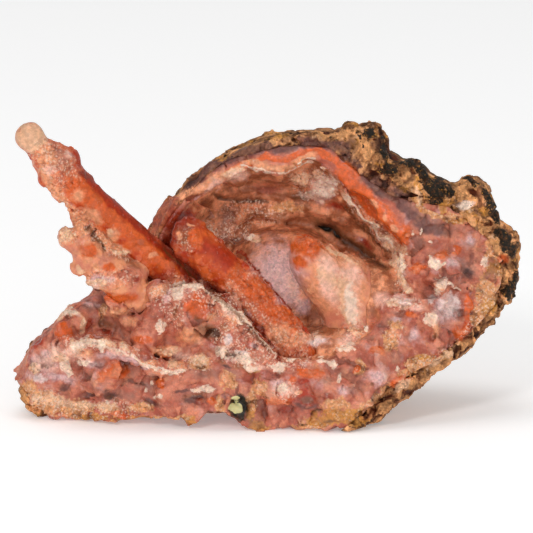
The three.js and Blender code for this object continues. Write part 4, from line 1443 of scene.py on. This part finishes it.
class STONE_OT_shell(bpy.types.Operator):
    """Build the chalcedony shell with its pocket, crest and left chunk"""

    bl_idname = "stone.shell"
    bl_label = "Chalcedony shell"

    def execute(self, context):
        sizes, shades = settings(context)
        finished_piece("chalcedony_shell", "chalcedony_body", sizes.mass_cell / MM,
                       functools.partial(shell_relief, sizes=sizes), shell_fields,
                       shell_paint(shades))
        return {"FINISHED"}


class STONE_OT_rods(bpy.types.Operator):
    """Build the stalactites"""

    bl_idname = "stone.rods"
    bl_label = "Stalactites"

    def execute(self, context):
        sizes, shades = settings(context)
        orange = rod_paint(shades, "orange stalactite", shades.ember, shades.orange)
        pale = rod_paint(shades, "pale stalactite", shades.pink, shades.peach)
        finishes = {
            "stalactite_long": (orange, "stalactite_orange"),
            "stalactite_small": (pale, "stalactite_pale"),
            "stalactite_middle": (orange, "stalactite_orange"),
            "stalactite_stub": (pale, "stalactite_pale"),
        }
        for node, (material, slot) in finishes.items():
            name = node.replace("stalactite_", "") + "_stalactite"
            finished_piece(name, node, sizes.rod_cell / MM,
                           functools.partial(rod_relief, sizes=sizes), rod_fields, material)
        return {"FINISHED"}


# Lights: place and size in metres, and power in watts.
LIGHTS = {
    "key": ((-0.4, -1.05, 0.7), 0.25, 4.8),
    "front": ((0.1, -1.25, 0.2), 0.45, 2.6),
    "side": ((0.7, -0.9, 0.35), 0.6, 1.4),
    "top": ((-0.1, 0.1, 1.05), 0.6, 2.7),
}
WORLD_STRENGTH = 0.46

# Floor: size in metres, grey, roughness and glow.
FLOOR_SIZE = 8
FLOOR_GREY = 0.95
FLOOR_ROUGHNESS = 0.9
FLOOR_GLOW = 0.22

# Camera: distance and clipping in metres, and width of the sensor in mm.
CAMERA_DISTANCE = 2.5
NEAREST, FARTHEST = 0.05, 20
SENSOR = 36


class STONE_OT_stage(bpy.types.Operator):
    """Build the floor, the lights and the camera"""

    bl_idname = "stone.stage"
    bl_label = "Floor, lights and camera"

    def execute(self, context):
        scene = context.scene
        scene.view_settings.view_transform = "Standard"
        bpy.ops.mesh.primitive_plane_add(size=FLOOR_SIZE)
        floor = context.object
        floor.name = "floor"
        plain = bpy.data.materials.new("pale floor")
        plain.use_nodes = True
        shader = plain.node_tree.nodes["Principled BSDF"]
        shader.inputs["Base Color"].default_value = (FLOOR_GREY, FLOOR_GREY, FLOOR_GREY, 1)
        shader.inputs["Roughness"].default_value = FLOOR_ROUGHNESS
        shader.inputs["Emission Color"].default_value = (1, 1, 1, 1)
        shader.inputs["Emission Strength"].default_value = FLOOR_GLOW
        floor.data.materials.append(plain)
        world = bpy.data.worlds.new("studio")
        world.use_nodes = True
        sky = world.node_tree.nodes["Background"]
        sky.inputs["Color"].default_value = (1, 1, 1, 1)
        sky.inputs["Strength"].default_value = WORLD_STRENGTH
        scene.world = world
        for name, (place, size, power) in LIGHTS.items():
            light = bpy.data.objects.new(name, bpy.data.lights.new(name, "AREA"))
            light.data.size = size
            light.data.energy = power
            light.location = place
            light.rotation_euler = (-Vector(place)).to_track_quat("-Z", "Y").to_euler()
            light.visible_camera = False
            scene.collection.objects.link(light)
        camera = bpy.data.objects.new("camera", bpy.data.cameras.new("camera"))
        scene.collection.objects.link(camera)
        scene.camera = camera
        middle = PICTURE_PIXELS / 2
        x, height = in_picture(middle, middle)
        target = (np.array([x, 0, 0]) + height * UP_IN_PICTURE) * MM
        camera.location = Vector(target - CAMERA_DISTANCE * INTO_PICTURE)
        camera.rotation_euler = Vector(INTO_PICTURE).to_track_quat("-Z", "Y").to_euler()
        camera.data.sensor_width = SENSOR
        camera.data.lens = SENSOR * CAMERA_DISTANCE / (PICTURE_PIXELS * PIXEL * MM)
        camera.data.clip_start = NEAREST
        camera.data.clip_end = FARTHEST
        return {"FINISHED"}


class STONE_PT_panel(bpy.types.Panel):
    """Lists the pieces of the stone with its sizes and colours"""

    bl_idname = "STONE_PT_panel"
    bl_label = "Chalcedony stalactite"
    bl_space_type = "VIEW_3D"
    bl_region_type = "UI"
    bl_category = "Stone"

    def draw(self, context):
        for group in settings(context):
            for name in group.__annotations__:
                self.layout.prop(group, name)
        for operator in OPERATORS:
            self.layout.operator(operator.bl_idname)


OPERATORS = (STONE_OT_rock, STONE_OT_shell, STONE_OT_rods, STONE_OT_stage)
CLASSES = (StoneSizes, StoneColours, *OPERATORS, STONE_PT_panel)


def register():
    for cls in CLASSES:
        bpy.utils.register_class(cls)
    bpy.types.Scene.stone_sizes = bpy.props.PointerProperty(type=StoneSizes)
    bpy.types.Scene.stone_colours = bpy.props.PointerProperty(type=StoneColours)


def unregister():
    del bpy.types.Scene.stone_colours
    del bpy.types.Scene.stone_sizes
    for cls in reversed(CLASSES):
        bpy.utils.unregister_class(cls)


def main():
    register()
    bpy.ops.stone.rock()
    bpy.ops.stone.shell()
    bpy.ops.stone.rods()
    bpy.ops.stone.stage()


if __name__ == "__main__":
    main()
